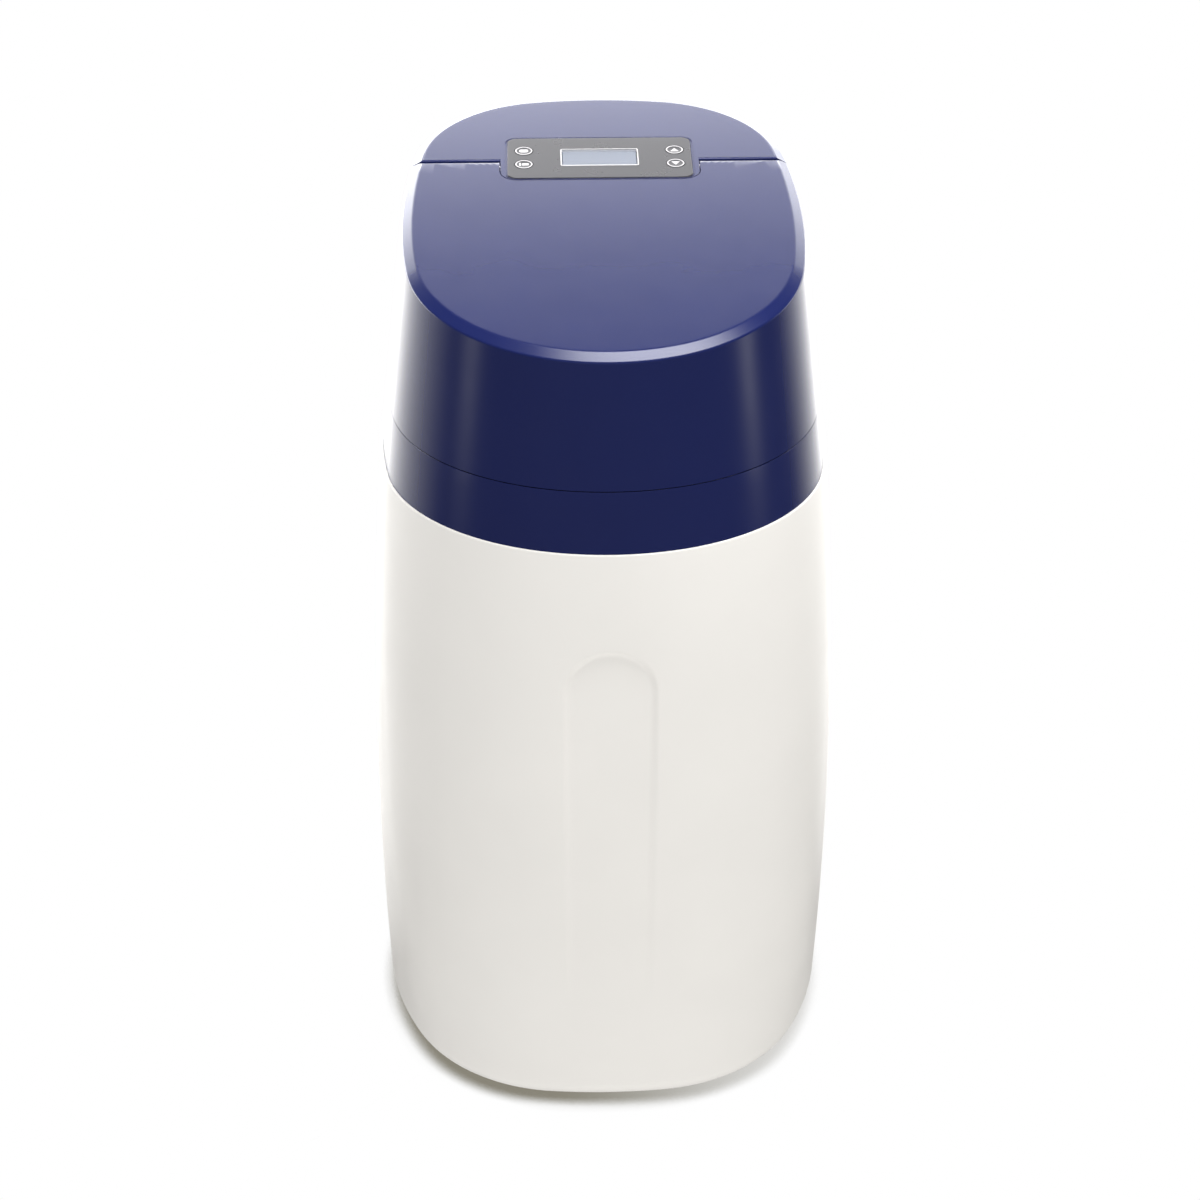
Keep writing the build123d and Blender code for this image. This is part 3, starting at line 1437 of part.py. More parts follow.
def build():
    """Every piece by its name."""
    solid, hollow = top_shell()
    pieces = {
        "cabinet_tank": cabinet_tank(),
        "collar": collar(),
        "salt_lid": salt_lid(solid, hollow),
        "rear_cover": rear_cover(solid, hollow),
        "cover_screws": cover_screws(),
        "hinge_pins": hinge_pins(),
        "display_panel": display_panel(),
        "lcd_frame": lcd_frame(),
        "lcd_window": lcd_window(),
        "lcd_module": lcd_module(),
        "tact_switches": tact_switches(),
        "control_board": control_board(),
        "control_tray": control_tray(),
        "power_socket": power_socket(),
        "vessel_deck": vessel_deck(),
        "resin_tank": resin_tank(),
        "tank_boot": tank_boot(),
        "riser_tube": riser_tube(),
        "bottom_strainer": bottom_strainer(),
        "top_strainer": top_strainer(),
        "resin_bed": resin_bed(),
        "neck_adapter": neck_adapter(),
        "neck_seal": neck_seal(),
        "valve_body": valve_body(),
        "fixed_disc": fixed_disc(),
        "rotor_disc": rotor_disc(),
        "drive_spindle": drive_spindle(),
        "valve_bonnet": valve_bonnet(),
        "bonnet_screws": bonnet_screws(),
        "injector_cap": injector_cap(),
        "inlet_connector": inlet_connector(),
        "outlet_connector": outlet_connector(),
        "union_nuts": union_nuts(),
        "turbine_holder": turbine_holder(),
        "flow_turbine": flow_turbine(),
        "drain_elbow": drain_elbow(),
        "main_gear": main_gear(),
        "idler_gear": idler_gear(),
        "motor_pinion": motor_pinion(),
        "drive_base": drive_base(),
        "gear_housing": gear_housing(),
        "drive_motor": drive_motor(),
        "brine_well": brine_well(),
        "brine_well_cap": brine_well_cap(),
        "brine_valve": brine_valve(),
        "pickup_tube": pickup_tube(),
        "float_stops": float_stops(),
        "brine_float": brine_float(),
        "air_check": air_check(),
        "check_ball": check_ball(),
        "brine_line": brine_line(),
        "overflow_elbow": overflow_elbow(),
        "overflow_gasket": overflow_gasket(),
        "overflow_nut": overflow_nut(),
    }
    for name, x, y in key_places():
        pieces[name] = control_key(x, y)
    return pieces


def main():
    for name, piece in build().items():
        export_step(piece, os.path.join("parts", name + ".step"))
    print("hinge", 0, round(hinge_y, 3), round(hinge_z, 3))
    print("slope", round(slope_angle, 3))


main()
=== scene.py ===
import json
from math import asin, atan, cos, hypot, pi, radians, sin, sqrt

import bmesh
import bpy
from mathutils import Matrix, Vector


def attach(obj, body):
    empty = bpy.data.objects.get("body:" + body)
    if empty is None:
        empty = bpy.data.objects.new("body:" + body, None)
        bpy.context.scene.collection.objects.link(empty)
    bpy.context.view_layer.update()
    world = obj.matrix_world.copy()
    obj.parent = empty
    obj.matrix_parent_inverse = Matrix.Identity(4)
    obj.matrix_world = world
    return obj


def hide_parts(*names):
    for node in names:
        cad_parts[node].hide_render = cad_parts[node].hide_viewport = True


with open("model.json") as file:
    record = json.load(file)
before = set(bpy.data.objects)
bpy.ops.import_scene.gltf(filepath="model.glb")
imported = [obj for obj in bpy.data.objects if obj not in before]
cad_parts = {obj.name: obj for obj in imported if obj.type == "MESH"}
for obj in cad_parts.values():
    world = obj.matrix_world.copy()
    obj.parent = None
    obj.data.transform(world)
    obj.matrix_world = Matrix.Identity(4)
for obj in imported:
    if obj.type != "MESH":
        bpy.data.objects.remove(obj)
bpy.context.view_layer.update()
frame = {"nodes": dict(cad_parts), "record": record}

# Water softener: finer outer pieces, materials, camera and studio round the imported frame.
# Metres, +Z up, front towards -Y, as in the CAD frame.

# White cabinet
rim_height = 0.439
foot_half_width = 0.15341
foot_front = 0.16681
foot_rear = 0.17555
rim_half_width = 0.1473
rim_front = 0.1961
rim_rear = 0.1836
rim_front_corner = 0.1402
rim_rear_corner = 0.1136
rim_bows = (0.0041, 0.00042, 0.0042, 0.0024)
foot_front_corner = 0.115
foot_rear_corner = 0.110
foot_bows = (0.012, 0.0015, 0.012, 0.0024)
belly_half_width = 0.1582
belly_height = 0.175
belly_front = 0.2008
belly_front_height = 0.320
belly_rear = 0.1858
belly_rear_height = 0.300
cabinet_wall = 0.0045
foot_round = 0.020
rim_round = 0.0008

# Arched recess
arch_half_width = 0.028
arch_narrowing = 0.0012
arch_top = 0.372
arch_foot = 0.104
arch_depth = 0.0024
arch_foot_depth = 0.0005
arch_edge = 0.0050
arch_fade = 0.030

# Blue top
lip_width = 0.0012
collar_top = 0.4792
seam_gap = 0.0006
top_draft = 0.1165
top_level = 0.5908
top_slope = 0.141
top_sag_radius = 8.620
bevel_inset = 0.0064
bevel_drop = 0.0036
bevel_round = 0.0010
shell_wall = 0.003
lid_wall = 0.0026
lid_low = collar_top + seam_gap / 2
top_limit = 0.640
overrun = 0.002

# Collar
collar_ledge = 0.003
spigot_depth = 0.012
spigot_wall = 0.003
spigot_gap = 0.0006

# Hinge seam and the notch for the panel's tongue
seam_y = 0.066
notch_half_width = 0.066
notch_front = 0.038
notch_corner = 0.012
hinge_bead = 0.0036
hinge_pin_radius = 0.0015
hinge_pin_in_lid = 0.012
hinge_pin_in_cover = 0.006
bead_end = 0.108
pin_gap = 0.00005
seat_gap = 0.0003

# Panel and keys
panel_y = 0.0685
panel_size = (0.122, 0.057)
panel_corner = 0.006
panel_thickness = 0.0016
panel_proud = 0.0003
deck_thickness = 0.0034
deck_margin = 0.003
screen_y = 0.069
screen_size = (0.052, 0.0244)
screen_border = 0.0015
key_x = 0.0502
key_rows_y = (0.0786, 0.0594)
key_radius = 0.0060
key_gap = 0.00035
key_flange_radius = 0.0067
key_flange = 0.0009
key_stem_radius = 0.0022
key_proud = 0.00015
tongue_skirt = 0.014
tongue_wall = 0.0022

# Rear of the cover
window_half_width = 0.088
window_top = 0.527
window_corner = 0.006
window_cutter_start = 0.104
socket_level = 0.548
socket_pad_radius = 0.011
socket_pad_proud = 0.0026
socket_body = 0.006
cover_screw_y = 0.077
cover_screw_level = 0.465
cover_screw = (cover_screw_y, cover_screw_level)
screw_hole = 0.0022
screw_seat = 0.0042
screw_head = 0.0038
screw_head_height = 0.0018
screw_sink = 0.0012
screw_shank = 0.00185

# Edges and printing of the panel and keys
panel_edge = 0.0004
panel_groove = 0.0004
frame_line = (0.0009, 0.0016)
frame_line_depth = 0.0006
cover_edge = 0.0012
screen_line = 0.0010
key_edge = 0.0004
key_dish = 0.00012
key_stem_low = -0.0051
key_ring = (0.0048, 0.0057)
print_depth = 0.00004
icon_half = 0.0030
weld = 1e-7

# Signs of the keys in shares of their half width: each block's width, depth, corner and place across
sign_blocks = {"menu": [(2.0, 1.5, 0.6, 0.0)], "regen": [(1.5, 1.1, 0.25, 0.3), (0.4, 1.5, 0.15, -0.85)]}
triangle_rise = 0.8

# Shanks and cross slots of the cover screws
screw_length = 0.00485
slot_half_length = 0.0024
slot_half_width = 0.0005
slot_depth = 0.0010

# Connectors at the rear
barrel_end = 0.150
port_x = 0.030
port_level = 0.502
port_radius = 0.016
port_bore = 0.010
port_reach = 0.200
thread_radius = 0.0132
thread_depth = 0.0008
thread_length = 0.018
thread_pitch = 0.0018
connector_flange = 0.004
holder_radius = 0.011
turbine_seat_end = 0.1643

# Thread's section: a wave of this height, lowered by this share and cut flat at its root and crest
thread_gain = 1.4
thread_flat = 0.2

# Fineness of the meshes: numbers of steps, rows, rounds and sides
foot_steps = 12
plain_rows = 8
arch_rows = 40
inner_rows = 12
inner_foot_steps = 6
collar_rows = 4
crest_rounds = 8
top_rows = 30
hollow_rows = 12
slope_steps = 80
notch_steps = 12
bead_steps = 16
cover_edge_steps = 6
corner_steps = 8
edge_steps = 4
dish_steps = 6
dome_steps = 6
thread_steps = 8
circle_sides = 48
rod_sides = 64
turned_sides = 72

# Shading: angles in degrees past which an edge is sharp, and the pull of large faces
sharp_angle = 32
thread_sharp_angle = 50
face_area_weight = 100


def clamp(value):
    """A value held between 0 and 1."""
    return min(max(value, 0.0), 1.0)


def ease(share):
    """A share from 0 to 1 that starts and ends smoothly."""
    share = clamp(share)
    return share * share * (3 - 2 * share)


def steps(low, high, count):
    """Evenly spaced values between two limits, both included."""
    return [low + (high - low) * index / count for index in range(count + 1)]


def circle(radius, across=0.0, up=0.0, sides=circle_sides):
    """Points of a circle."""
    return [(across + radius * cos(2 * pi * step / sides), up + radius * sin(2 * pi * step / sides))
            for step in range(sides)]


def corner_arc(across, up, radius, start, count):
    """Points of a quarter circle round a centre, from a bearing on."""
    return [(across + radius * cos(turn), up + radius * sin(turn))
            for turn in steps(start, start + pi / 2, count)]


def blend(low, high, z):
    """A value that goes straight from the floor to the rim."""
    return low + (high - low) * z / rim_height


def swell(foot, belly, rim, belly_level, z):
    """How far the cabinet reaches at a height."""
    end, far = (foot, belly_level) if z < belly_level else (rim, rim_height - belly_level)
    share = (z - belly_level) / far
    return belly - (belly - end) * share * share


def quarter_arcs(reach_x, reach_y, corner, bow_x, bow_y):
    """Side, corner and end arcs of a quarter plan: the last bearing of each, its centre and its radius."""
    cx = reach_x - bow_x - corner
    cy = reach_y - bow_y - corner
    side = (2 * corner * bow_x + bow_x * bow_x + cy * cy) / (2 * bow_x)
    end = (2 * corner * bow_y + bow_y * bow_y + cx * cx) / (2 * bow_y)
    first = asin(cy / (side - corner))
    last = pi / 2 - asin(cx / (end - corner))
    return [(first, reach_x - side, 0, side), (last, cx, cy, corner), (pi, 0, reach_y - end, end)]


def make_plan(half_width, front, rear, front_corner, rear_corner, bows):
    """Front and rear quarter arcs of a closed plan."""
    return (quarter_arcs(half_width, front, front_corner, bows[0], bows[1]),
            quarter_arcs(half_width, rear, rear_corner, bows[2], bows[3]))


def cabinet_plan(z):
    """Plan of the white cabinet at a height."""
    bows = [blend(low, high, z) for low, high in zip(foot_bows, rim_bows)]
    return make_plan(swell(foot_half_width, belly_half_width, rim_half_width, belly_height, z),
                     swell(foot_front, belly_front, rim_front, belly_front_height, z),
                     swell(foot_rear, belly_rear, rim_rear, belly_rear_height, z),
                     blend(foot_front_corner, rim_front_corner, z),
                     blend(foot_rear_corner, rim_rear_corner, z), bows)


rim_plan = make_plan(rim_half_width, rim_front, rim_rear, rim_front_corner, rim_rear_corner, rim_bows)


def plan_point(plan, bearing, inset):
    """Place on a plan where its outward normal has this bearing, drawn in by an inset."""
    ahead = sin(bearing) < 0
    folded = asin(min(abs(sin(bearing)), 1.0))
    for last, cx, cy, radius in plan[0 if ahead else 1]:
        if folded <= last:
            break
    x = cx + (radius - inset) * cos(folded)
    y = cy + (radius - inset) * sin(folded)
    return (-x if cos(bearing) < 0 else x), (-y if ahead else y)


def top_z(y):
    """Height of the sloping top surface at a depth."""
    return top_level + top_slope * y - y * y / (2 * top_sag_radius)


def top_draw(z):
    """How far the blue top is drawn in from the rim's plan at a height."""
    return lip_width + top_draft * (z - rim_height)


def bearings(bands):
    """Bearings round a plan, from the front by the right to the rear and back.

    Each band gives its last bearing and its step, in degrees.
    """
    half = []
    at = -90.0
    for end, step in bands:
        count = round((end - at) / step)
        half += [at + (end - at) * index / count for index in range(count)]
        at = end
    half.append(90.0)
    back = [180.0 - bearing for bearing in reversed(half[1:-1])]
    return [radians(bearing) for bearing in half + back]


fine_bearings = bearings([(-83, 0.25), (-74, 0.5), (-10, 2.0), (-5, 0.5), (5, 0.25), (10, 0.5), (90, 2.5)])
top_bearings = bearings([(90, 1.5)])


def new_object(name, data):
    """An object in the scene, from its mesh, camera or lamp."""
    obj = bpy.data.objects.new(name, data)
    bpy.context.scene.collection.objects.link(obj)
    return obj


def finish_mesh(obj, sharp=sharp_angle):
    """Point the faces outwards and shade them smooth, with sharp edges past an angle in degrees."""
    mesh = obj.data
    work = bmesh.new()
    work.from_mesh(mesh)
    bmesh.ops.recalc_face_normals(work, faces=work.faces)
    work.to_mesh(mesh)
    work.free()
    mesh.shade_smooth()
    mesh.set_sharp_from_angle(angle=radians(sharp))
    return obj


def even_shading(obj):
    """Let large faces set the shading, so that narrow ones beside them don't tint it."""
    weighted = obj.modifiers.new("even_shading", "WEIGHTED_NORMAL")
    weighted.mode = "FACE_AREA"
    weighted.weight = face_area_weight
    weighted.keep_sharp = True


def lofted(name, rings, closed=False):
    """A skin over rings of equal count, closed by end faces or, for a tube-like form, on itself."""
    count = len(rings[0])
    verts = [point for ring in rings for point in ring]
    faces = []
    pairs = [(low, low + 1) for low in range(len(rings) - 1)]
    if closed:
        pairs.append((len(rings) - 1, 0))
    for low, high in pairs:
        for at in range(count):
            after = (at + 1) % count
            faces.append((low * count + at, low * count + after, high * count + after, high * count + at))
    if not closed:
        faces.append(tuple(range(count - 1, -1, -1)))
        faces.append(tuple(range((len(rings) - 1) * count, len(rings) * count)))
    mesh = bpy.data.meshes.new(name)
    mesh.from_pydata(verts, [], faces)
    mesh.validate()
    return finish_mesh(new_object(name, mesh))


def prism(name, points, axis, low, high):
    """A straight prism over a closed polygon: its points lie across the axis, and it runs along it."""
    at = "xyz".index(axis)
    return lofted(name, [[point[:at] + (along,) + point[at:] for point in points] for along in (low, high)])


def rod(radius, axis, middle, low, high):
    """A round bar along an axis, used as a cutter or a boss: its middle lies across the axis."""
    return prism("rod", circle(radius, *middle, rod_sides), axis, low, high)


def combine(obj, other, operation):
    """Join, cut or keep with another closed form, which is used up."""
    change = obj.modifiers.new("combine", "BOOLEAN")
    change.operation = operation
    change.solver = "MANIFOLD"
    change.object = other
    bpy.context.view_layer.update()
    mesh = bpy.data.meshes.new_from_object(obj.evaluated_get(bpy.context.evaluated_depsgraph_get()))
    obj.modifiers.clear()
    used = [obj.data, other.data]
    obj.data = mesh
    bpy.data.objects.remove(other)
    for old in used:
        bpy.data.meshes.remove(old)
    return obj


def cut(obj, other):
    """Take another form away."""
    return combine(obj, other, "DIFFERENCE")


def join(obj, other):
    """Add another form."""
    return combine(obj, other, "UNION")


def keep(obj, other):
    """Keep what lies in another form."""
    return combine(obj, other, "INTERSECT")


def recess(across, z):
    """How deep the arched recess is at a place across it and a height."""
    crown = arch_top - arch_half_width
    if z > crown:
        edge = arch_half_width - hypot(across, z - crown)
    else:
        half = arch_half_width - arch_narrowing * (crown - z) / (crown - arch_foot)
        edge = half - abs(across)
    share = clamp((z - arch_foot) / (arch_top - arch_foot))
    depth = arch_foot_depth + (arch_depth - arch_foot_depth) * share
    fade = ease((z - arch_foot) / arch_fade + 0.5)
    return depth * fade * ease(edge / arch_edge + 0.5)


def cabinet_ring(z, inset, level=None, recessed=False):
    """One ring of the cabinet's plan at a height, at that or another level, with or without recesses."""
    plan = cabinet_plan(z)
    ring = []
    for bearing in fine_bearings:
        x, y = plan_point(plan, bearing, inset)
        if recessed:
            across = x if y < -belly_half_width / 2 else y
            open_here = y < 0 or abs(x) > belly_half_width / 2
            sink = recess(across, z) if open_here else 0
            x, y = plan_point(plan, bearing, inset + sink)
        ring.append((x, y, z if level is None else level))
    return ring


def make_cabinet():
    """White cabinet with a rounded foot, soft arched recesses and a rounded rim."""
    rings = []
    for turn in steps(0, pi / 2, foot_steps)[:-1]:
        rings.append(cabinet_ring(foot_round * (1 - cos(turn)), foot_round * (1 - sin(turn))))
    crown = arch_top - arch_half_width
    levels = steps(foot_round, arch_foot - arch_fade, plain_rows)
    levels += steps(arch_foot - arch_fade / 2, crown - arch_half_width / 2, arch_rows)
    levels += steps(crown - arch_half_width / 3, arch_top + arch_edge, arch_rows)
    levels += steps(arch_top + 2 * arch_edge, rim_height - rim_round, plain_rows)
    rings += [cabinet_ring(z, 0, recessed=True) for z in levels]
    for turn in steps(0, pi / 2, edge_steps)[1:]:
        z = rim_height - rim_round * (1 - sin(turn))
        rings.append(cabinet_ring(rim_height, rim_round * (1 - cos(turn)), z))
    rings.append(cabinet_ring(rim_height, cabinet_wall))
    for z in reversed(steps(foot_round, rim_height - overrun, inner_rows)):
        rings.append(cabinet_ring(z, cabinet_wall))
    inner_round = foot_round - cabinet_wall
    for turn in reversed(steps(0, pi / 2, inner_foot_steps)[:-1]):
        z = cabinet_wall + inner_round * (1 - cos(turn))
        rings.append(cabinet_ring(z, cabinet_wall + inner_round * (1 - sin(turn))))
    return lofted("cabinet_shell", rings)


def top_ring(z, inset=0.0):
    """One level ring of the blue top."""
    return [plan_point(rim_plan, bearing, top_draw(z) + inset) + (z,) for bearing in top_bearings]


def coarse_cabinet_ring(z, inset):
    """One ring of the cabinet's plan with as many points as the blue top has."""
    plan = cabinet_plan(z)
    return [plan_point(plan, bearing, inset) + (z,) for bearing in top_bearings]


def make_collar():
    """Blue band on the rim, with its ledge and the spigot that reaches into the cabinet."""
    high = collar_top - seam_gap / 2
    ledge = rim_height + collar_ledge
    outer = cabinet_wall + spigot_gap
    inner = outer + spigot_wall
    foot = rim_height - spigot_depth
    edge = bevel_round / 2
    rings = [top_ring(rim_height)]
    rings += [top_ring(z) for z in steps(rim_height + edge, high - edge, collar_rows)]
    rings += [top_ring(high, inset) for inset in (edge / 3, edge, shell_wall)]
    rings.append(top_ring(ledge, shell_wall))
    for z, inset in ((ledge, inner), (foot, inner), (foot, outer), (rim_height - overrun / 4, outer)):
        rings.append(coarse_cabinet_ring(z, inset))
    band = lofted("collar_band", rings, closed=True)
    far = rim_half_width + overrun
    cutters = ((screw_hole, rim_half_width - 4 * shell_wall), (screw_seat, screw_head_x() - screw_sink))
    for side in (-1, 1):
        for radius, near in cutters:
            band = cut(band, rod(radius, "x", cover_screw, side * near, side * far))
    return finish_mesh(band)


def screw_head_x():
    """How far the collar's outer side wall reaches at the cover screws."""
    draw = top_draw(cover_screw_level)
    _, centre, _, radius = rim_plan[1][0]
    return centre + sqrt((radius - draw) ** 2 - cover_screw_y ** 2)


def toward(start, end, length):
    """A point at a length from start towards end."""
    return start + (end - start).normalized() * length


def softened(before, corner, after, radius):
    """Points of a small curve that takes the place of a corner."""
    start = toward(corner, before, radius)
    end = toward(corner, after, radius)
    return [start * (1 - share) ** 2 + corner * 2 * share * (1 - share) + end * share ** 2
            for share in steps(0, 1, edge_steps)]


def crest_z(bearing, inset, drop):
    """Height at which the side of the blue top meets its sloping top surface at a bearing."""
    z = top_level
    for _ in range(crest_rounds):
        _, y = plan_point(rim_plan, bearing, top_draw(z) + inset)
        z = top_z(y) - drop
    return z


def top_form(name, low, inset, drop, side_drop, radius, rows):
    """The whole blue top as one closed form: tapered side, bevel and sloping top surface.

    An inset draws its sides in and a drop lowers its top. The bevel starts a side drop below its edge.
    """
    def on_top(x, y):
        return Vector((x, y, top_z(y) - drop))
    columns = []
    for bearing in top_bearings:
        edge_z = crest_z(bearing, inset, drop)
        foot = Vector(plan_point(rim_plan, bearing, top_draw(low) + inset) + (low,))
        side_z = edge_z - side_drop
        side = Vector(plan_point(rim_plan, bearing, top_draw(side_z) + inset) + (side_z,))
        deep = top_draw(edge_z) + inset + bevel_inset
        inner = on_top(*plan_point(rim_plan, bearing, deep))
        if radius:
            further = on_top(*plan_point(rim_plan, bearing, deep + bevel_inset))
            column = [foot, foot.lerp(side, 0.5)]
            column += softened(foot, side, inner, radius)
            column += softened(side, inner, further, radius)
        else:
            column = [foot, side, inner]
        columns.append(column)
    rings = [list(ring) for ring in zip(*columns)]
    rim = rings[-1]
    for share in steps(1, 0, rows)[1:-1]:
        rings.append([on_top(point.x * share, point.y * share) for point in rim])
    return lofted(name, rings)


def top_shell():
    """The lid and cover together as one shell."""
    shell = top_form("shell", lid_low, 0, 0, bevel_drop, bevel_round, top_rows)
    hollow = top_form("hollow", lid_low - overrun, lid_wall, shell_wall, bevel_inset, 0, hollow_rows)
    return cut(shell, hollow)


def solid_top():
    """The space inside the outer skin of the blue top."""
    return top_form("solid", lid_low + overrun, 0, 0, bevel_drop, bevel_round, top_rows)


def notch(gap, low, high):
    """The round-cornered notch that takes the panel's tongue, grown by a gap."""
    half = notch_half_width + gap
    radius = notch_corner + gap
    middle = notch_front - gap + radius
    points = [(half, seam_y + overrun), (-half, seam_y + overrun)]
    for side, start in ((-1, pi), (1, 3 * pi / 2)):
        points += corner_arc(side * (half - radius), middle, radius, start, notch_steps)
    return prism("notch", points, "z", low, high)


def slab(x0, x1, y0, y1, z0, z1):
    """A box used as a cutter."""
    return prism("slab", [(x0, y0), (x1, y0), (x1, y1), (x0, y1)], "z", z0, z1)


hinge_y = seam_y - seam_gap / 2 - hinge_bead
hinge_z = top_z(hinge_y) - hinge_bead
pivot = (hinge_y, hinge_z)
reach = rim_front + overrun


def lid_side():
    """Everything that swings with the lid: in front of the seam, with a round upper rear edge."""
    points = [(-reach, rim_height), (hinge_y + hinge_bead, rim_height)]
    points += corner_arc(*pivot, hinge_bead, 0, bead_steps)
    points += [(hinge_y, top_limit), (-reach, top_limit)]
    return prism("side", points, "x", -reach, reach)


def make_lid():
    """Blue salt lid with its round rear edge, the notch and the two hinge beads."""
    lid = keep(top_shell(), lid_side())
    lid = cut(lid, notch(seam_gap / 2, rim_height, top_limit))
    inner_x = notch_half_width + seam_gap / 2
    bore = hinge_pin_radius + pin_gap
    bore_end = inner_x + hinge_pin_in_lid + seat_gap
    for side in (-1, 1):
        lid = join(lid, rod(hinge_bead - seat_gap, "x", pivot, side * inner_x, side * bead_end))
        lid = cut(lid, rod(bore, "x", pivot, side * (inner_x - overrun), side * bore_end))
    lid.name = "lid_shell"
    return finish_mesh(lid)


def under_top(drop):
    """Everything below the sloping top surface, lowered by a drop."""
    points = [(reach, rim_height), (-reach, rim_height)]
    points += [(y, top_z(y) - drop) for y in steps(-reach, reach, slope_steps)]
    return prism("under", points, "x", -reach, reach)


slope = atan(top_slope - panel_y / top_sag_radius)
panel_frame = Matrix.Translation((0, panel_y, top_z(panel_y))) @ Matrix.Rotation(slope, 4, "X")
screen_up = (screen_y - panel_y) / cos(slope)

# Name, place across and place up the slope of each key
keys = [(name, x, (y - panel_y) / cos(slope))
        for x, names in ((-key_x, ("menu", "regen")), (key_x, ("up", "down")))
        for name, y in zip(names, key_rows_y)]


def rounded_rectangle(width, depth, corner, across=0.0, up=0.0):
    """Points of a rectangle with round corners."""
    points = []
    for cx, cy, start in ((1, 1, 0), (-1, 1, pi / 2), (-1, -1, pi), (1, -1, 3 * pi / 2)):
        points += corner_arc(across + cx * (width / 2 - corner), up + cy * (depth / 2 - corner),
                             corner, start, corner_steps)
    return points


def grown(size, corner, gap, up=0.0):
    """A rounded rectangle grown by a gap on every side."""
    return rounded_rectangle(size[0] + 2 * gap, size[1] + 2 * gap, corner + gap, 0, up)


def slope_prism(points, low, high):
    """A prism square to the slope of the panel."""
    piece = prism("slope", points, "z", low, high)
    piece.data.transform(panel_frame)
    return piece


def opened(piece, low, high):
    """Cut the openings for the screen and the keys."""
    piece = cut(piece, slope_prism(grown(screen_size, screen_border, 0, screen_up), low, high))
    for _, across, up in keys:
        piece = cut(piece, slope_prism(circle(key_radius + key_gap, across, up), low, high))
    return piece


def cover_side():
    """Everything behind the seam, with a round upper edge along it."""
    front = seam_y + seam_gap / 2
    points = [(reach, top_limit), (front + cover_edge, top_limit)]
    points += corner_arc(front + cover_edge, top_z(front) - cover_edge, cover_edge, pi / 2, cover_edge_steps)
    points += [(front, rim_height), (reach, rim_height)]
    return prism("behind", points, "x", -reach, reach)


def frame_groove():
    """Cutter for the fine line round the panel."""
    inner, outer = [slope_prism(grown(panel_size, panel_corner, gap), low, shell_wall)
                    for gap, low in zip(frame_line, (-shell_wall, -frame_line_depth))]
    return cut(outer, inner)


def make_cover():
    """Blue rear cover with the tongue for the panel, the port window and the socket's pad."""
    cover = keep(top_shell(), cover_side())
    tongue_low = top_z(notch_front) - tongue_skirt
    core = notch(-seam_gap / 2 - tongue_wall, tongue_low - overrun, top_limit)
    core = keep(core, under_top(deck_thickness))
    tongue = keep(notch(-seam_gap / 2, tongue_low, top_limit), solid_top())
    cover = join(cover, cut(tongue, core))
    deck_size = [side + 2 * deck_margin for side in panel_size]
    deck = slope_prism(rounded_rectangle(*deck_size, panel_corner), -deck_thickness, -shell_wall / 2)
    cover = join(cover, keep(deck, slab(-reach, reach, seam_y, reach, rim_height, top_limit)))
    outer_x = notch_half_width - seam_gap / 2 - pin_gap
    inner_x = outer_x - hinge_pin_in_cover
    for side in (-1, 1):
        cover = join(cover, rod(hinge_bead - seam_gap / 2, "x", pivot, side * inner_x, side * outer_x))
        cover = cut(cover, rod(hinge_pin_radius, "x", pivot, side * inner_x, side * (outer_x + overrun)))
    pocket = grown(panel_size, panel_corner, panel_groove)
    cover = cut(cover, slope_prism(pocket, panel_proud - panel_thickness, shell_wall))
    cover = cut(cover, frame_groove())
    cover = opened(cover, -2 * deck_thickness, overrun)
    window = [(-window_half_width, rim_height), (window_half_width, rim_height)]
    for side, start in ((1, 0), (-1, pi / 2)):
        window += corner_arc(side * (window_half_width - window_corner), window_top - window_corner,
                             window_corner, start, corner_steps)
    cover = cut(cover, prism("window", window, "y", window_cutter_start, reach))
    wall_y = rim_rear - top_draw(socket_level)
    socket = (0, socket_level)
    pad_end = wall_y + socket_pad_proud - seat_gap
    cover = join(cover, rod(socket_pad_radius, "y", socket, wall_y - shell_wall, pad_end))
    cover = cut(cover, rod(socket_body + pin_gap, "y", socket, wall_y - 2 * shell_wall, reach))
    cover.name = "cover_shell"
    return finish_mesh(cover)


def soft_plate(name, size, corner, up, high):
    """A plate that stands in the panel's pocket, with its upper edge rounded."""
    low = panel_proud - panel_thickness
    rings = [[point + (low,) for point in grown(size, corner, 0, up)]]
    for turn in steps(0, pi / 2, edge_steps):
        level = high - panel_edge * (1 - sin(turn))
        outline = grown(size, corner, -panel_edge * (1 - cos(turn)), up)
        rings.append([point + (level,) for point in outline])
    piece = lofted(name, rings)
    piece.data.transform(panel_frame)
    return piece


def make_panel():
    """Black panel with round upper edges, open for the screen and the keys."""
    panel = soft_plate("panel_face", panel_size, panel_corner, 0, panel_proud)
    return finish_mesh(opened(panel, -2 * panel_thickness, panel_thickness))


def make_screen_border():
    """White border round the display window."""
    border = soft_plate("screen_border", screen_size, screen_border, screen_up, panel_proud + key_proud)
    inner = [side - 2 * screen_line for side in screen_size]
    hole = rounded_rectangle(*inner, screen_border / 2, 0, screen_up)
    return finish_mesh(cut(border, slope_prism(hole, -2 * panel_thickness, panel_thickness)))


def turned(name, profile, across, up):
    """A closed turned form on the panel from a profile of radius and height."""
    rings = []
    for step in range(turned_sides):
        turn = 2 * pi * step / turned_sides
        rings.append([(across + radius * cos(turn), up + radius * sin(turn), z) for radius, z in profile])
    piece = lofted(name, rings, closed=True)
    work = bmesh.new()
    work.from_mesh(piece.data)
    bmesh.ops.remove_doubles(work, verts=work.verts, dist=weld)
    work.to_mesh(piece.data)
    work.free()
    finish_mesh(piece)
    piece.data.transform(panel_frame)
    return piece


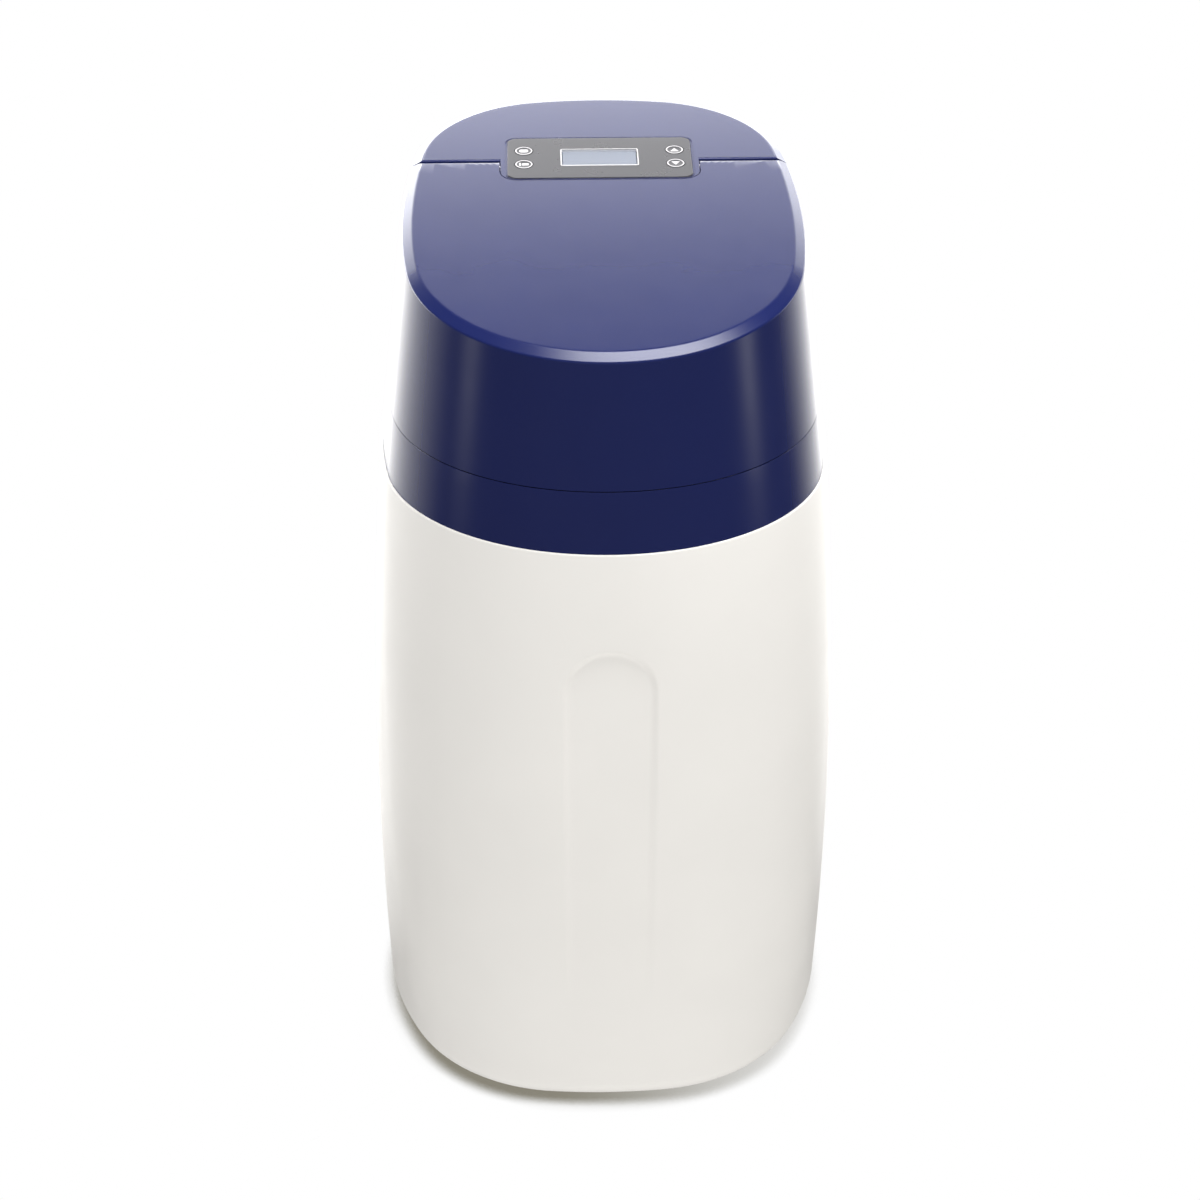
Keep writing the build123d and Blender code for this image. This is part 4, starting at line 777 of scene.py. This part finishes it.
def make_key(name, across, up):
    """A key with a rounded edge and a slight dish, the flange that keeps it in and its stem."""
    under = -deck_thickness - seat_gap
    top = panel_proud + key_proud
    profile = [(0, key_stem_low), (key_stem_radius, key_stem_low), (key_stem_radius, under - key_flange),
               (key_flange_radius, under - key_flange), (key_flange_radius, under), (key_radius, under)]
    for turn in steps(0, pi / 2, edge_steps):
        profile.append((key_radius - key_edge * (1 - cos(turn)), top - key_edge * (1 - sin(turn))))
    for share in steps(1, 0, dish_steps)[1:]:
        radius = (key_radius - key_edge) * share
        profile.append((radius, top - key_dish * (1 - share * share)))
    return turned("key_cap_" + name, profile, across, up)


def print_level(radius):
    """Height of a key's dished face at a distance from its middle."""
    share = radius / (key_radius - key_edge)
    return panel_proud + key_proud - key_dish * (1 - share * share)


def make_key_ring(name, across, up):
    """Printed white ring near the edge of a key."""
    under = [(radius, print_level(radius) - print_depth) for radius in key_ring]
    over = [(radius, print_level(radius) + print_depth) for radius in reversed(key_ring)]
    return turned("key_ring_" + name, under + over, across, up)


def icon_shapes(name):
    """Outlines of a key's plain white sign, in shares of its half width."""
    if name in sign_blocks:
        return [rounded_rectangle(*sizes) for sizes in sign_blocks[name]]
    rise = triangle_rise if name == "up" else -triangle_rise
    triangle = [(-1, -rise), (1, -rise), (0, rise)]
    return [triangle if rise > 0 else triangle[::-1]]


def make_icons(name, across, up):
    """Printed white sign in the middle of a key."""
    pieces = []
    level = print_level(icon_half / 2)
    for index, shape in enumerate(icon_shapes(name)):
        points = [(across + a * icon_half, up + b * icon_half) for a, b in shape]
        sign = slope_prism(points, level - print_depth, level + print_depth)
        sign.name = "key_sign_" + name + "_" + str(index + 1)
        pieces.append(sign)
    return pieces


def make_screw(name, side):
    """Cover screw with a domed head and a cross slot."""
    base = screw_head_x() - screw_sink + pin_gap
    third = screw_head_height / 3
    profile = [(screw_shank, -screw_length), (screw_shank, 0), (screw_head, 0), (screw_head, third)]
    for turn in steps(0, pi / 2, dome_steps)[1:-1]:
        profile.append((screw_head * cos(turn), screw_head_height * (1 + 2 * sin(turn)) / 3))
    screw = lofted(name, [[(side * (base + along), y, z) for y, z in circle(radius, *cover_screw)]
                          for radius, along in profile])
    y, z = cover_screw
    ends = sorted((side * (base + screw_head_height - slot_depth), side * (base + 2 * screw_head_height)))
    halves = (slot_half_length, slot_half_width)
    for half_y, half_z in (halves, halves[::-1]):
        screw = cut(screw, slab(*ends, y - half_y, y + half_y, z - half_z, z + half_z))
    return finish_mesh(screw)


def make_connector(name, x):
    """Threaded connector: flange, neck and a helical thread on its end."""
    def plain_ring(y, radius):
        return [(a, y, b) for a, b in circle(radius, x, port_level, turned_sides)]
    start = barrel_end + seat_gap
    neck = start + connector_flange
    root = thread_radius - thread_depth
    thread_start = port_reach - thread_length
    rings = [plain_ring(start, port_radius), plain_ring(neck, port_radius), plain_ring(neck, root)]
    rows = round(thread_steps * thread_length / thread_pitch)
    for y in steps(thread_start, port_reach - thread_pitch / 4, rows):
        fade = ease((y - thread_start) / thread_pitch) * ease((port_reach - y) / thread_pitch)
        ring = []
        for at in range(turned_sides):
            wave = 0.5 + 0.5 * cos(2 * pi * ((y - thread_start) / thread_pitch - at / turned_sides))
            radius = root + thread_depth * clamp(thread_gain * wave - thread_flat) * fade
            turn = 2 * pi * at / turned_sides
            ring.append((x + radius * cos(turn), y, port_level + radius * sin(turn)))
        rings.append(ring)
    rings.append(plain_ring(port_reach, root - seat_gap))
    middle = (x, port_level)
    body = cut(lofted(name, rings), rod(port_bore, "y", middle, start - overrun, port_reach + overrun))
    if x > 0:
        body = cut(body, rod(holder_radius + seat_gap, "y", middle, start - overrun, turbine_seat_end))
    return finish_mesh(body, thread_sharp_angle)


def feed(tree, value, target):
    """Link a socket to an input, or set a plain number or colour on it."""
    if isinstance(value, bpy.types.NodeSocket):
        tree.links.new(value, target)
    elif isinstance(value, tuple):
        target.default_value = value + (1.0,)
    else:
        target.default_value = value


def calc(tree, operation, *values):
    """A math node's result."""
    node = tree.nodes.new("ShaderNodeMath")
    node.operation = operation
    for index, value in enumerate(values):
        feed(tree, value, node.inputs[index])
    return node.outputs[0]


def plus(tree, one, two):
    """A sum."""
    return calc(tree, "ADD", one, two)


def times(tree, one, two):
    """A product."""
    return calc(tree, "MULTIPLY", one, two)


def remap(tree, value, from_low, from_high, to_low, to_high, smooth=False):
    """A value moved from one range to another."""
    node = tree.nodes.new("ShaderNodeMapRange")
    if smooth:
        node.interpolation_type = "SMOOTHSTEP"
    for index, limit in enumerate((value, from_low, from_high, to_low, to_high)):
        feed(tree, limit, node.inputs[index])
    return node.outputs[0]


def noise(tree, place, scale, detail, roughness):
    """Fractal noise at a scale per metre."""
    node = tree.nodes.new("ShaderNodeTexNoise")
    tree.links.new(place, node.inputs["Vector"])
    node.inputs["Scale"].default_value = scale
    node.inputs["Detail"].default_value = detail
    node.inputs["Roughness"].default_value = roughness
    return node.outputs["Fac"]


def mixed(tree, share, low, high):
    """A colour between two others."""
    node = tree.nodes.new("ShaderNodeMix")
    node.data_type = "RGBA"
    for name, value in (("Factor", share), ("A", low), ("B", high)):
        feed(tree, value, node.inputs[name])
    return node.outputs["Result"]


def new_material(name):
    """An empty node material: its tree, its shader and the place in the object's own frame."""
    mat = bpy.data.materials.new(name)
    mat.use_nodes = True
    tree = mat.node_tree
    shader = tree.nodes["Principled BSDF"]
    place = tree.nodes.new("ShaderNodeTexCoord").outputs["Object"]
    return mat, tree, shader, place


def surfaced(tree, shader, colour, roughness, height=None, depth=0.0):
    """Give a shader its colour, its roughness and a bump of a real depth."""
    feed(tree, colour, shader.inputs["Base Color"])
    feed(tree, roughness, shader.inputs["Roughness"])
    if height is not None:
        bump = tree.nodes.new("ShaderNodeBump")
        bump.inputs["Distance"].default_value = depth
        tree.links.new(height, bump.inputs["Height"])
        tree.links.new(bump.outputs["Normal"], shader.inputs["Normal"])


def parted(tree, place):
    """The three coordinates of a place."""
    node = tree.nodes.new("ShaderNodeSeparateXYZ")
    tree.links.new(place, node.inputs[0])
    return node.outputs[:]


# Noises of the finishes: scale per metre, detail and roughness. The grain's scale goes with its material
mottle_noise = (14.0, 3.0, 0.5)
gloss_noise = (55.0, 4.0, 0.6)
wave_noise = (9.0, 1.0, 0.5)
drawn_noise = (700.0, 4.0, 0.7)
fibre_noise = (240.0, 4.0, 0.7)
haze_noise = (30.0, 2.0, 0.5)
grain_detail = (3.0, 0.6)

# Part of a noise's values that a range is spread over
noise_span = (0.3, 0.7)

# Drawn metal: how dark its lines are, how far its roughness varies, and their depth
drawn_shade = 0.9
drawn_spread = 0.07
drawn_depth = 0.00001

# Wound glass fibre on the vessel
vessel_y = 0.066
winding_per_metre = 420.0
winding_starts = 24.0
weave_share = 0.35
weave_span = (0.2, 1.0)
weave_colours = ((0.16, 0.19, 0.17), (0.40, 0.43, 0.38))
weave_roughness = (0.22, 0.42)
weave_depth = 0.0002

# Resin beads: amber in each bead's middle, with painted shade darkening to brown towards the gaps between
# them
bead_scale = 1400.0
bead_colours_with_gap_shade = ((0.70, 0.38, 0.09), (0.30, 0.12, 0.02))
bead_depth = 0.0004
bead_roughness = 0.35

# Circuit board: two greens of the board, and its tracks
track_scale = 260.0
track_colours = {"Color1": (0.012, 0.10, 0.035), "Color2": (0.016, 0.13, 0.05), "Mortar": (0.03, 0.22, 0.08)}
track_width = 0.04
track_depth = 0.00003
lacquer_roughness = 0.3

# Display window
haze_roughness = (0.04, 0.08)
haze_colours = ((0.55, 0.59, 0.68), (0.59, 0.63, 0.72))
window_alpha = 0.25


def moulded(name, colour, roughness, spread=0.05, grain=900.0, depth=0.00002, mottle=0.04, wave=0.0):
    """Moulded plastic or rubber: slight mottle, a fine grain and uneven gloss."""
    mat, tree, shader, place = new_material(name)
    dark = tuple(channel * (1 - mottle) for channel in colour)
    light = tuple(min(channel * (1 + mottle), 1.0) for channel in colour)
    cloud = remap(tree, noise(tree, place, *mottle_noise), *noise_span, 0.0, 1.0)
    gloss = noise(tree, place, *gloss_noise)
    gloss = remap(tree, gloss, *noise_span, roughness - spread, roughness + spread)
    height = noise(tree, place, grain, *grain_detail)
    if wave:
        height = plus(tree, height, times(tree, noise(tree, place, *wave_noise), wave))
    surfaced(tree, shader, mixed(tree, cloud, dark, light), gloss, height, depth)
    return mat


def machined(name, colour, roughness):
    """Bright metal with fine drawn lines."""
    mat, tree, shader, place = new_material(name)
    lines = noise(tree, place, *drawn_noise)
    dark = tuple(channel * drawn_shade for channel in colour)
    gloss = remap(tree, lines, *noise_span, roughness - drawn_spread, roughness + drawn_spread)
    surfaced(tree, shader, mixed(tree, lines, dark, colour), gloss, lines, drawn_depth)
    shader.inputs["Metallic"].default_value = 1.0
    return mat


def wound(name):
    """Glass fibre wound in two crossing directions and set in resin."""
    mat, tree, shader, place = new_material(name)
    x, y, z = parted(tree, place)
    turn = calc(tree, "ARCTAN2", calc(tree, "SUBTRACT", y, vessel_y), x)
    along = times(tree, z, winding_per_metre)
    around = times(tree, turn, winding_starts)
    one = calc(tree, "SINE", plus(tree, along, around))
    two = calc(tree, "SINE", calc(tree, "SUBTRACT", along, around))
    weave = calc(tree, "MAXIMUM", one, two)
    fibre = noise(tree, place, *fibre_noise)
    pattern = plus(tree, times(tree, weave, weave_share), fibre)
    share = remap(tree, pattern, *weave_span, 0.0, 1.0)
    gloss = remap(tree, fibre, *noise_span, *weave_roughness)
    surfaced(tree, shader, mixed(tree, share, *weave_colours), gloss, pattern, weave_depth)
    return mat


def beads(name):
    """Packed amber resin beads under half a millimetre wide, with painted shade that darkens each to brown
    towards the gaps between them.
    """
    mat, tree, shader, place = new_material(name)
    cells = tree.nodes.new("ShaderNodeTexVoronoi")
    tree.links.new(place, cells.inputs["Vector"])
    cells.inputs["Scale"].default_value = bead_scale
    away = cells.outputs["Distance"]
    height = calc(tree, "SUBTRACT", 1.0, away)
    # Painted shade: the colour goes from amber in a bead's middle to brown towards the gaps between beads
    surfaced(tree, shader, mixed(tree, away, *bead_colours_with_gap_shade), bead_roughness, height, bead_depth)
    return mat


def circuit(name):
    """Green coated board with copper tracks under the lacquer."""
    mat, tree, shader, place = new_material(name)
    tracks = tree.nodes.new("ShaderNodeTexBrick")
    tree.links.new(place, tracks.inputs["Vector"])
    tracks.inputs["Scale"].default_value = track_scale
    tracks.inputs["Mortar Size"].default_value = track_width
    for part, colour in track_colours.items():
        feed(tree, colour, tracks.inputs[part])
    surfaced(tree, shader, tracks.outputs["Color"], lacquer_roughness, tracks.outputs["Fac"], track_depth)
    return mat


def clear_window(name):
    """Clear window that lets the display behind it show."""
    mat, tree, shader, place = new_material(name)
    haze = noise(tree, place, *haze_noise)
    gloss = remap(tree, haze, *noise_span, *haze_roughness)
    surfaced(tree, shader, mixed(tree, haze, *haze_colours), gloss)
    shader.inputs["Alpha"].default_value = window_alpha
    return mat


# Moulded finishes: colour and roughness, then where they differ from the usual ones the roughness's
# spread, the grain's scale per metre and its depth, the mottle and the share of a long wave
moulded_finishes = {
    "cabinet_white": ((0.785, 0.768, 0.739), 0.42, 0.04, 700.0, 0.000015, 0.012, 3.0),
    "top_blue": ((0.0085, 0.0135, 0.076), 0.24, 0.01, 260.0, 0.000003, 0.025, 1.5),
    "panel_black": ((0.018, 0.0175, 0.023), 0.28, 0.01, 200.0, 0.000001),
    "print_white": ((0.50, 0.49, 0.50), 0.45, 0.04, 1200.0, 0.000008, 0.01),
    "display_module": ((0.125, 0.15, 0.205), 0.5, 0.05, 1600.0, 0.000008, 0.03),
    "switch_black": ((0.03, 0.03, 0.032), 0.5),
    "tray_grey": ((0.16, 0.165, 0.175), 0.5),
    "boot_black": ((0.018, 0.018, 0.019), 0.7, 0.06, 600.0, 0.00005),
    "valve_black": ((0.022, 0.022, 0.025), 0.45, 0.06, 800.0, 0.00004),
    "ceramic": ((0.75, 0.72, 0.66), 0.18, 0.03, 1600.0, 0.000005),
    "gear_white": ((0.72, 0.70, 0.63), 0.4),
    "seal_rubber": ((0.012, 0.012, 0.012), 0.65),
    "tube_white": ((0.68, 0.68, 0.66), 0.4),
    "well_white": ((0.74, 0.74, 0.71), 0.45, 0.05, 500.0, 0.00003),
    "float_white": ((0.62, 0.66, 0.68), 0.5, 0.06, 700.0, 0.00006),
    "ball_white": ((0.78, 0.78, 0.78), 0.25),
    "line_blue": ((0.03, 0.09, 0.36), 0.3),
}
materials = {slot: moulded(slot, *values) for slot, values in moulded_finishes.items()}
for slot, finish in (("display_glass", clear_window), ("board_green", circuit), ("vessel_wound", wound),
                     ("resin_amber", beads)):
    materials[slot] = finish(slot)
materials["steel"] = machined("steel", (0.62, 0.61, 0.60), 0.28)


def dress(piece, slot, body, *replaced):
    """Give a new piece its finish, its body and the CAD nodes it stands for."""
    even_shading(piece)
    piece.data.materials.clear()
    piece.data.materials.append(materials[slot])
    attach(piece, body)
    if replaced:
        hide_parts(*replaced)


for entry in frame["record"]["subparts"]:
    for holder in frame["nodes"][entry["node"]].material_slots:
        holder.material = materials[entry["material_slot"]]

dress(make_cabinet(), "cabinet_white", "cabinet", "cabinet_tank")
dress(make_collar(), "top_blue", "cabinet", "collar")
dress(make_lid(), "top_blue", "lid", "salt_lid")
dress(make_cover(), "top_blue", "cabinet", "rear_cover")
dress(make_panel(), "panel_black", "cabinet", "display_panel")
dress(make_screen_border(), "print_white", "cabinet", "lcd_frame")
dress(make_screw("cover_screw_left", -1), "steel", "cabinet", "cover_screws")
dress(make_screw("cover_screw_right", 1), "steel", "cabinet")
dress(make_connector("inlet_threaded", -port_x), "valve_black", "cabinet", "inlet_connector")
dress(make_connector("outlet_threaded", port_x), "valve_black", "cabinet", "outlet_connector")
for name, across, up in keys:
    dress(make_key(name, across, up), "panel_black", name + "_key", "key_" + name)
    dress(make_key_ring(name, across, up), "print_white", name + "_key")
    for sign in make_icons(name, across, up):
        dress(sign, "print_white", name + "_key")

# Camera, from the fit to the photograph: angles in radians, lens and sensor in millimetres
camera_lens = 86.84
sensor = 36.0
camera_distance = 2.0
camera_pitch = 0.4896
camera_yaw = 0.027
camera_across = 0.0015
aim_height = 0.3041

camera = new_object("camera", bpy.data.cameras.new("camera"))
camera.data.lens = camera_lens
camera.data.sensor_width = sensor
camera.data.sensor_fit = "HORIZONTAL"
eye = Vector((-camera_across, -camera_distance * cos(camera_pitch),
              aim_height + camera_distance * sin(camera_pitch)))
camera.location = Matrix.Rotation(-camera_yaw, 3, "Z") @ eye
camera.rotation_euler = (pi / 2 - camera_pitch, 0, -camera_yaw)
bpy.context.scene.camera = camera

white = (1.0, 1.0, 1.0)


def fading(tree, value, centre, half_width, plateau=0.0):
    """One up to a plateau's half width from a centre, falling to nothing at a half width on both sides."""
    away = calc(tree, "ABSOLUTE", calc(tree, "SUBTRACT", value, centre))
    return remap(tree, away, plateau, half_width, 1.0, 0.0, True)


def emitted(tree, colour, strength, kind):
    """Close a light-giving node tree with its output."""
    glow = tree.nodes.new("ShaderNodeEmission" if kind == "Material" else "ShaderNodeBackground")
    feed(tree, colour, glow.inputs["Color"])
    tree.links.new(strength, glow.inputs["Strength"])
    out = tree.nodes.new("ShaderNodeOutput" + kind)
    tree.links.new(glow.outputs[0], out.inputs["Surface"])


def by_ray(tree, mirrored, diffused):
    """Brightness of one for the camera, and other ones for reflections and diffuse light."""
    path = tree.nodes.new("ShaderNodeLightPath")
    direct = calc(tree, "MAXIMUM", path.outputs["Is Camera Ray"], path.outputs["Is Transmission Ray"])
    strength = plus(tree, direct, times(tree, path.outputs["Is Glossy Ray"], mirrored))
    return plus(tree, strength, times(tree, path.outputs["Is Diffuse Ray"], diffused)), direct


# Floor in reflections: from which to which bearing off the front it turns bright on each side, and how
# bright it is behind, in two narrow streaks (bearing, half width, light) past a distance, and in front
left_ramp = (88.0, 146.0)
right_ramp = (106.0, 156.0)
left_rear_light = 2.8
right_rear_light = 3.2
streak_left = (-75.0, 8.0, 1.9)
streak_right = (78.0, 7.0, 3.2)
streak_reach = (1.80, 2.3)
floor_front = 0.03

# Floor in diffuse light, and its size
floor_bounce = 1.28
floor_tint = (1.0, 0.99, 0.97)
floor_half = 12.0
floor_thickness = 0.002

# Contact shadow that the camera sees: its reach, its colour, the open shares where it is full and gone,
# and between which places across the second share changes and the shadow fades out to the right
shadow_reach = 0.022
shadow_samples = 8
shadow_colour = (0.25, 0.235, 0.19)
shadow_share = (0.36, 0.57)
left_shadow_share = 0.70
left_span = (-0.16, -0.04)
right_span = (-0.05, 0.15)
right_clear = 0.6


def floor_material():
    """White floor: seen as white with a contact shadow, dim in front and bright behind in reflections."""
    mat = bpy.data.materials.new("floor")
    mat.use_nodes = True
    tree = mat.node_tree
    tree.nodes.clear()
    x, y, _ = parted(tree, tree.nodes.new("ShaderNodeNewGeometry").outputs["Position"])
    bearing = calc(tree, "DEGREES", calc(tree, "ARCTAN2", x, times(tree, y, -1.0)))
    left = remap(tree, times(tree, bearing, -1.0), *left_ramp, 0.0, left_rear_light)
    right = remap(tree, bearing, *right_ramp, 0.0, right_rear_light)
    far = calc(tree, "SQRT", plus(tree, times(tree, x, x), times(tree, y, y)))
    beyond = remap(tree, far, *streak_reach, 0.0, 1.0)
    streaks = plus(tree, *[times(tree, fading(tree, bearing, middle, half), light)
                           for middle, half, light in (streak_left, streak_right)])
    mirrored = plus(tree, plus(tree, left, right), times(tree, streaks, beyond))
    mirrored = plus(tree, mirrored, floor_front)
    contact = tree.nodes.new("ShaderNodeAmbientOcclusion")
    contact.samples = shadow_samples
    contact.inputs["Distance"].default_value = shadow_reach
    clear = remap(tree, x, *left_span, left_shadow_share, shadow_share[1])
    shade = remap(tree, contact.outputs["AO"], shadow_share[0], clear, 0.0, 1.0, True)
    shade = calc(tree, "MAXIMUM", shade, remap(tree, x, *right_span, 0.0, right_clear, True))
    seen = mixed(tree, shade, shadow_colour, white)
    strength, direct = by_ray(tree, mirrored, floor_bounce)
    emitted(tree, mixed(tree, direct, floor_tint, seen), strength, "Material")
    return mat


floor = slab(-floor_half, floor_half, -floor_half, floor_half, -floor_thickness, 0.0)
floor.name = "floor"
floor.data.materials.append(floor_material())

# Studio round the object: what its gloss reflects, by direction. A bright rear wall up to an edge that
# comes down to the sides, brighter low down, a large box overhead and a dim room
rear_start = (0.1, 0.4)
rear_edge = (0.505, 0.61)
rear_span = (-0.5, 0.5)
rear_tilt = (1.3, 0.65)
rear_narrowing = 0.5
rear_light = 4.6
low_edge = (0.25, 0.45)
low_light = 1.5
room_light = 0.20
room_sides = (0.1, 0.5)
room_side_share = 0.2
box_start = (0.3, 0.5)
box_across = (0.165, 0.38, 0.19)
box_along = (0.03, 0.25, 0.10)
box_light = 13.2
diffuse_light = 0.36


def make_world():
    """White studio: plain for the camera and for diffuse light, graded by direction in reflections."""
    world = bpy.data.worlds.new("studio")
    world.use_nodes = True
    bpy.context.scene.world = world
    tree = world.node_tree
    tree.nodes.clear()
    x, y, z = parted(tree, tree.nodes.new("ShaderNodeTexCoord").outputs["Generated"])
    narrowed = plus(tree, z, times(tree, times(tree, x, x), rear_narrowing))
    to_rear = remap(tree, y, *rear_start, 0.0, 1.0, True)
    low = times(tree, remap(tree, z, *low_edge, 1.0, 0.0, True), low_light)
    rear = times(tree, remap(tree, narrowed, *rear_edge, 1.0, 0.0, True), plus(tree, low, rear_light))
    tilt = remap(tree, x, *rear_span, *rear_tilt)
    rear = times(tree, times(tree, rear, tilt), to_rear)
    box = times(tree, fading(tree, x, *box_across), fading(tree, y, *box_along))
    box = times(tree, times(tree, box, remap(tree, z, *box_start, 0.0, 1.0)), box_light)
    aside = calc(tree, "ABSOLUTE", x)
    room = times(tree, remap(tree, aside, *room_sides, 1.0, room_side_share), room_light)
    strength, _ = by_ray(tree, plus(tree, plus(tree, rear, box), room), diffuse_light)
    emitted(tree, white, strength, "World")


make_world()


def soft_light(name, place, target, size, watts, colour):
    """A large soft lamp that lights the object but doesn't show in its gloss."""
    data = bpy.data.lights.new(name, "AREA")
    data.shape = "RECTANGLE"
    data.size, data.size_y = size
    data.energy = watts
    data.color = colour
    lamp = new_object(name, data)
    lamp.location = place
    lamp.rotation_euler = (Vector(target) - Vector(place)).to_track_quat("-Z", "Y").to_euler()
    lamp.visible_glossy = False
    lamp.visible_camera = False


# Lamps: place, what each points at, size, watts and colour
lamps = {
    "overhead_light": ((0.15, 0, 2.4), (0, 0, 0.5), (1.4, 1.4), 76.0, white),
    "key_light": ((1.8, -2.0, 1.2), (0, 0, 0.3), (1.6, 1.6), 16.0, (1.0, 0.99, 0.97)),
    "fill_light": ((-1.6, -2.2, 0.4), (0, 0, 0.1), (1.8, 0.8), 7.0, (0.99, 0.99, 1.0)),
}
for name, values in lamps.items():
    soft_light(name, *values)

bpy.context.scene.view_settings.view_transform = "Standard"
